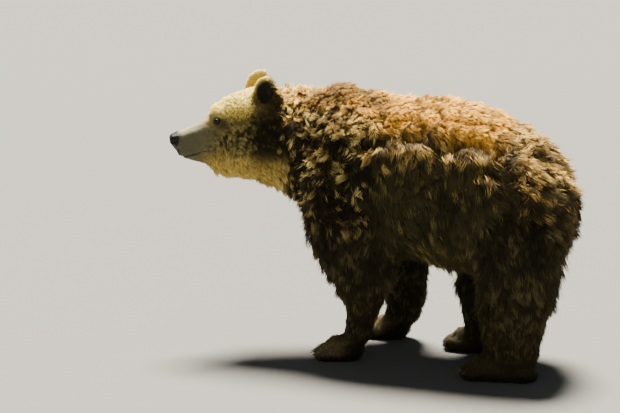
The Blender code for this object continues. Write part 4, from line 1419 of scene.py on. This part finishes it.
def make_nose():
    """The nose's own solid, with nostrils, their slits and wings, and a split down the middle."""
    pad = merged_copy("nose", "nose_pad")
    applied(pad, "REMESH", mode="VOXEL", voxel_size=0.0014)
    applied(pad, "SMOOTH", factor=0.5, iterations=20)
    points, normals = points_of(pad.data), normals_of(pad.data)
    head = on_head(points)
    mirrored = folded(head)
    ahead, aside, _ = mirrored.T
    front = ramp(ahead, 0.142, 0.150)
    reach = (mirrored - NOSTRIL) / (0.016, 0.0080, 0.0068)
    reach[:, 0] *= 0.7
    hole = np.exp(-(np.sum(reach**2, axis=1) ** 1.5))
    to_slit = distance_to_line(mirrored[:, 1:], NOSTRIL_SLIT)
    slit = gauss(to_slit, 0, 0.0019) * front * ramp(aside, 0.0365, 0.030)
    wing = gauss(to_slit, 0.0052, 0.0030) * front * ramp(aside, 0.012, 0.020)
    split = gauss(aside, 0, 0.0016) * ramp(ahead, 0.150, 0.166)
    inward = normals * 0.4 + AHEAD * 0.6
    under_skin = EDGE_DEPTH * (1 - ramp(on_nose(head), 0.0, 0.5))
    raised = WING_HEIGHT * wing - SPLIT_DEPTH * split - SLIT_DEPTH * slit * (1 - hole) - under_skin
    set_points(pad.data, points - inward * (HOLE_DEPTH * hole)[:, None] + normals * raised[:, None])
    dress(pad, nose_material())
    finish_piece(pad, "nose", "nose")


def claw_material():
    """Dark horn that pales towards its point with wear, streaked along."""
    n = Nodes("claw_horn")
    features = settings().features
    streaks = n.noise(n.mapped(n.place(), Scale=(900.0, 90.0, 300.0)), scale=1.0)
    worn = n.attribute("worn", "Fac")
    colour = n.mix(worn, opaque(features.claw_root), opaque(features.claw_tip))
    colour = n.scaled(colour, n.vary(streaks, 0.65, 1.35))
    n.bump(streaks, strength=0.35, distance=0.0006)
    return n.finish(colour, n.vary(streaks, 0.30, 0.50), coat_weight=0.15, coat_roughness=0.3)


def make_claws():
    material = claw_material()
    for end, side in LEGS:
        for number in TOES:
            node = f"claw_{end}_{side}_{number}"
            claw = merged_copy(node, f"horn_{end}_{side}_{number}")
            applied(claw, "SUBSURF", levels=2, render_levels=2)
            back = points_of(claw.data)[:, 1]
            store(claw.data, "worn", "FLOAT", ramp(back, back.max(), back.min()))
            dress(claw, material)
            finish_piece(claw, "claw", node)


# Stage

VIEW_CENTRE = (-0.005, -0.2895, 0.569)
SENSOR_WIDTH = 36.0
SKY_TINT = (0.86, 0.95, 0.96, 1.0)


def aim(obj, target):
    obj.rotation_euler = (Vector(target) - obj.location).to_track_quat("-Z", "Y").to_euler()


def lamp(name, kind, place, target, **values):
    """A lamp of this kind at a place, turned to its target."""
    light = bpy.data.lights.new(name, kind)
    for field, value in values.items():
        setattr(light, field, value)
    made = new_object(name, light)
    made.location = place
    aim(made, target)


def floor_material():
    n = Nodes("floor_paint")
    grain = n.noise(n.place(), scale=3.0, detail=5.0)
    colour = n.scaled(opaque(settings().stage.floor), n.vary(grain, 0.97, 1.03))
    return n.finish(colour, n.vary(grain, 0.8, 0.9), specular_ior_level=0.2)


def make_stage():
    sizes = settings().stage
    bpy.ops.object.select_all(action="DESELECT")
    bpy.ops.mesh.primitive_plane_add(size=sizes.floor_side, location=(0, 0, 0))
    floor = bpy.context.object
    floor.name = "floor"
    floor.data.materials.append(floor_material())
    world = bpy.data.worlds.new("studio")
    world.use_nodes = True
    sky = world.node_tree.nodes["Background"].inputs
    sky["Color"].default_value = SKY_TINT
    sky["Strength"].default_value = sizes.sky
    bpy.context.scene.world = world
    lamp(
        "key_light", "SUN", place=(-1.5, -0.6, 5.0), target=(0, 0, 0.7),
        energy=sizes.key_power, angle=sizes.key_softness, color=(1.0, 0.94, 0.80),
    )
    lamp(
        "fill_light", "AREA", place=(4.2, 1.0, 2.2), target=(0, 0, 0.6),
        shape="SQUARE", size=3.0, energy=sizes.fill_power, color=(1.0, 0.97, 0.92),
    )
    camera = new_object("camera", bpy.data.cameras.new("camera"))
    flat, height = math.cos(sizes.elevation), math.sin(sizes.elevation)
    back = Vector((math.sin(sizes.azimuth) * flat, -math.cos(sizes.azimuth) * flat, height))
    camera.location = Vector(VIEW_CENTRE) + back * sizes.camera_distance
    aim(camera, VIEW_CENTRE)
    camera.data.lens, camera.data.sensor_width = sizes.lens, SENSOR_WIDTH
    camera.data.clip_end = 200.0
    bpy.context.scene.camera = camera


# Operators and panel


class BEAR_OT_stage(bpy.types.Operator):
    """Lay the floor, set the lights and place the camera"""

    bl_idname = "bear.stage"
    bl_label = "Stage"

    def execute(self, context):
        make_stage()
        return {"FINISHED"}


class BEAR_OT_skin(bpy.types.Operator):
    """Make the solids of flesh one skin, under the depth of the coat"""

    bl_idname = "bear.skin"
    bl_label = "Skin"

    def execute(self, context):
        skin = shape_skin()
        dress(skin, skin_material())
        finish_piece(skin, "brown_fur", *FLESH_NODES)
        return {"FINISHED"}


class BEAR_OT_coat(bpy.types.Operator):
    """Grow the coat on the skin, in locks that draw together in clumps"""

    bl_idname = "bear.coat"
    bl_label = "Coat"

    def execute(self, context):
        skin = bpy.data.objects.get("skin")
        if skin is None:
            raise RuntimeError("make the skin before the coat")
        grow_coat(skin)
        return {"FINISHED"}


class BEAR_OT_eyes(bpy.types.Operator):
    """Set the eyeballs between the lids"""

    bl_idname = "bear.eyes"
    bl_label = "Eyes"

    def execute(self, context):
        make_eyes()
        return {"FINISHED"}


class BEAR_OT_nose(bpy.types.Operator):
    """Model the leather of the nose, with its nostrils"""

    bl_idname = "bear.nose"
    bl_label = "Nose"

    def execute(self, context):
        make_nose()
        return {"FINISHED"}


class BEAR_OT_claws(bpy.types.Operator):
    """Model the twenty claws"""

    bl_idname = "bear.claws"
    bl_label = "Claws"

    def execute(self, context):
        make_claws()
        return {"FINISHED"}


OPERATORS = (BEAR_OT_stage, BEAR_OT_skin, BEAR_OT_eyes, BEAR_OT_nose, BEAR_OT_claws, BEAR_OT_coat)


class BEAR_PT_panel(bpy.types.Panel):
    """The steps that build the bear, in order"""

    bl_label = "Brown Bear"
    bl_idname = "BEAR_PT_panel"
    bl_space_type = "VIEW_3D"
    bl_region_type = "UI"
    bl_category = "Bear"

    def draw(self, context):
        column = self.layout.column()
        for operator in OPERATORS:
            column.operator(operator.bl_idname)


GROUPS = (BearSkinSettings, BearCoatSettings, BearFeatureSettings, BearStageSettings, BearSettings)
CLASSES = (*GROUPS, *OPERATORS, BEAR_PT_panel)


def register():
    for one in CLASSES:
        bpy.utils.register_class(one)
    bpy.types.Scene.bear = PointerProperty(type=BearSettings)


def unregister():
    del bpy.types.Scene.bear
    for one in reversed(CLASSES):
        bpy.utils.unregister_class(one)


def main():
    register()
    bpy.ops.bear.stage()
    bpy.ops.bear.skin()
    bpy.ops.bear.eyes()
    bpy.ops.bear.nose()
    bpy.ops.bear.claws()
    bpy.ops.bear.coat()


if __name__ == "__main__":
    main()
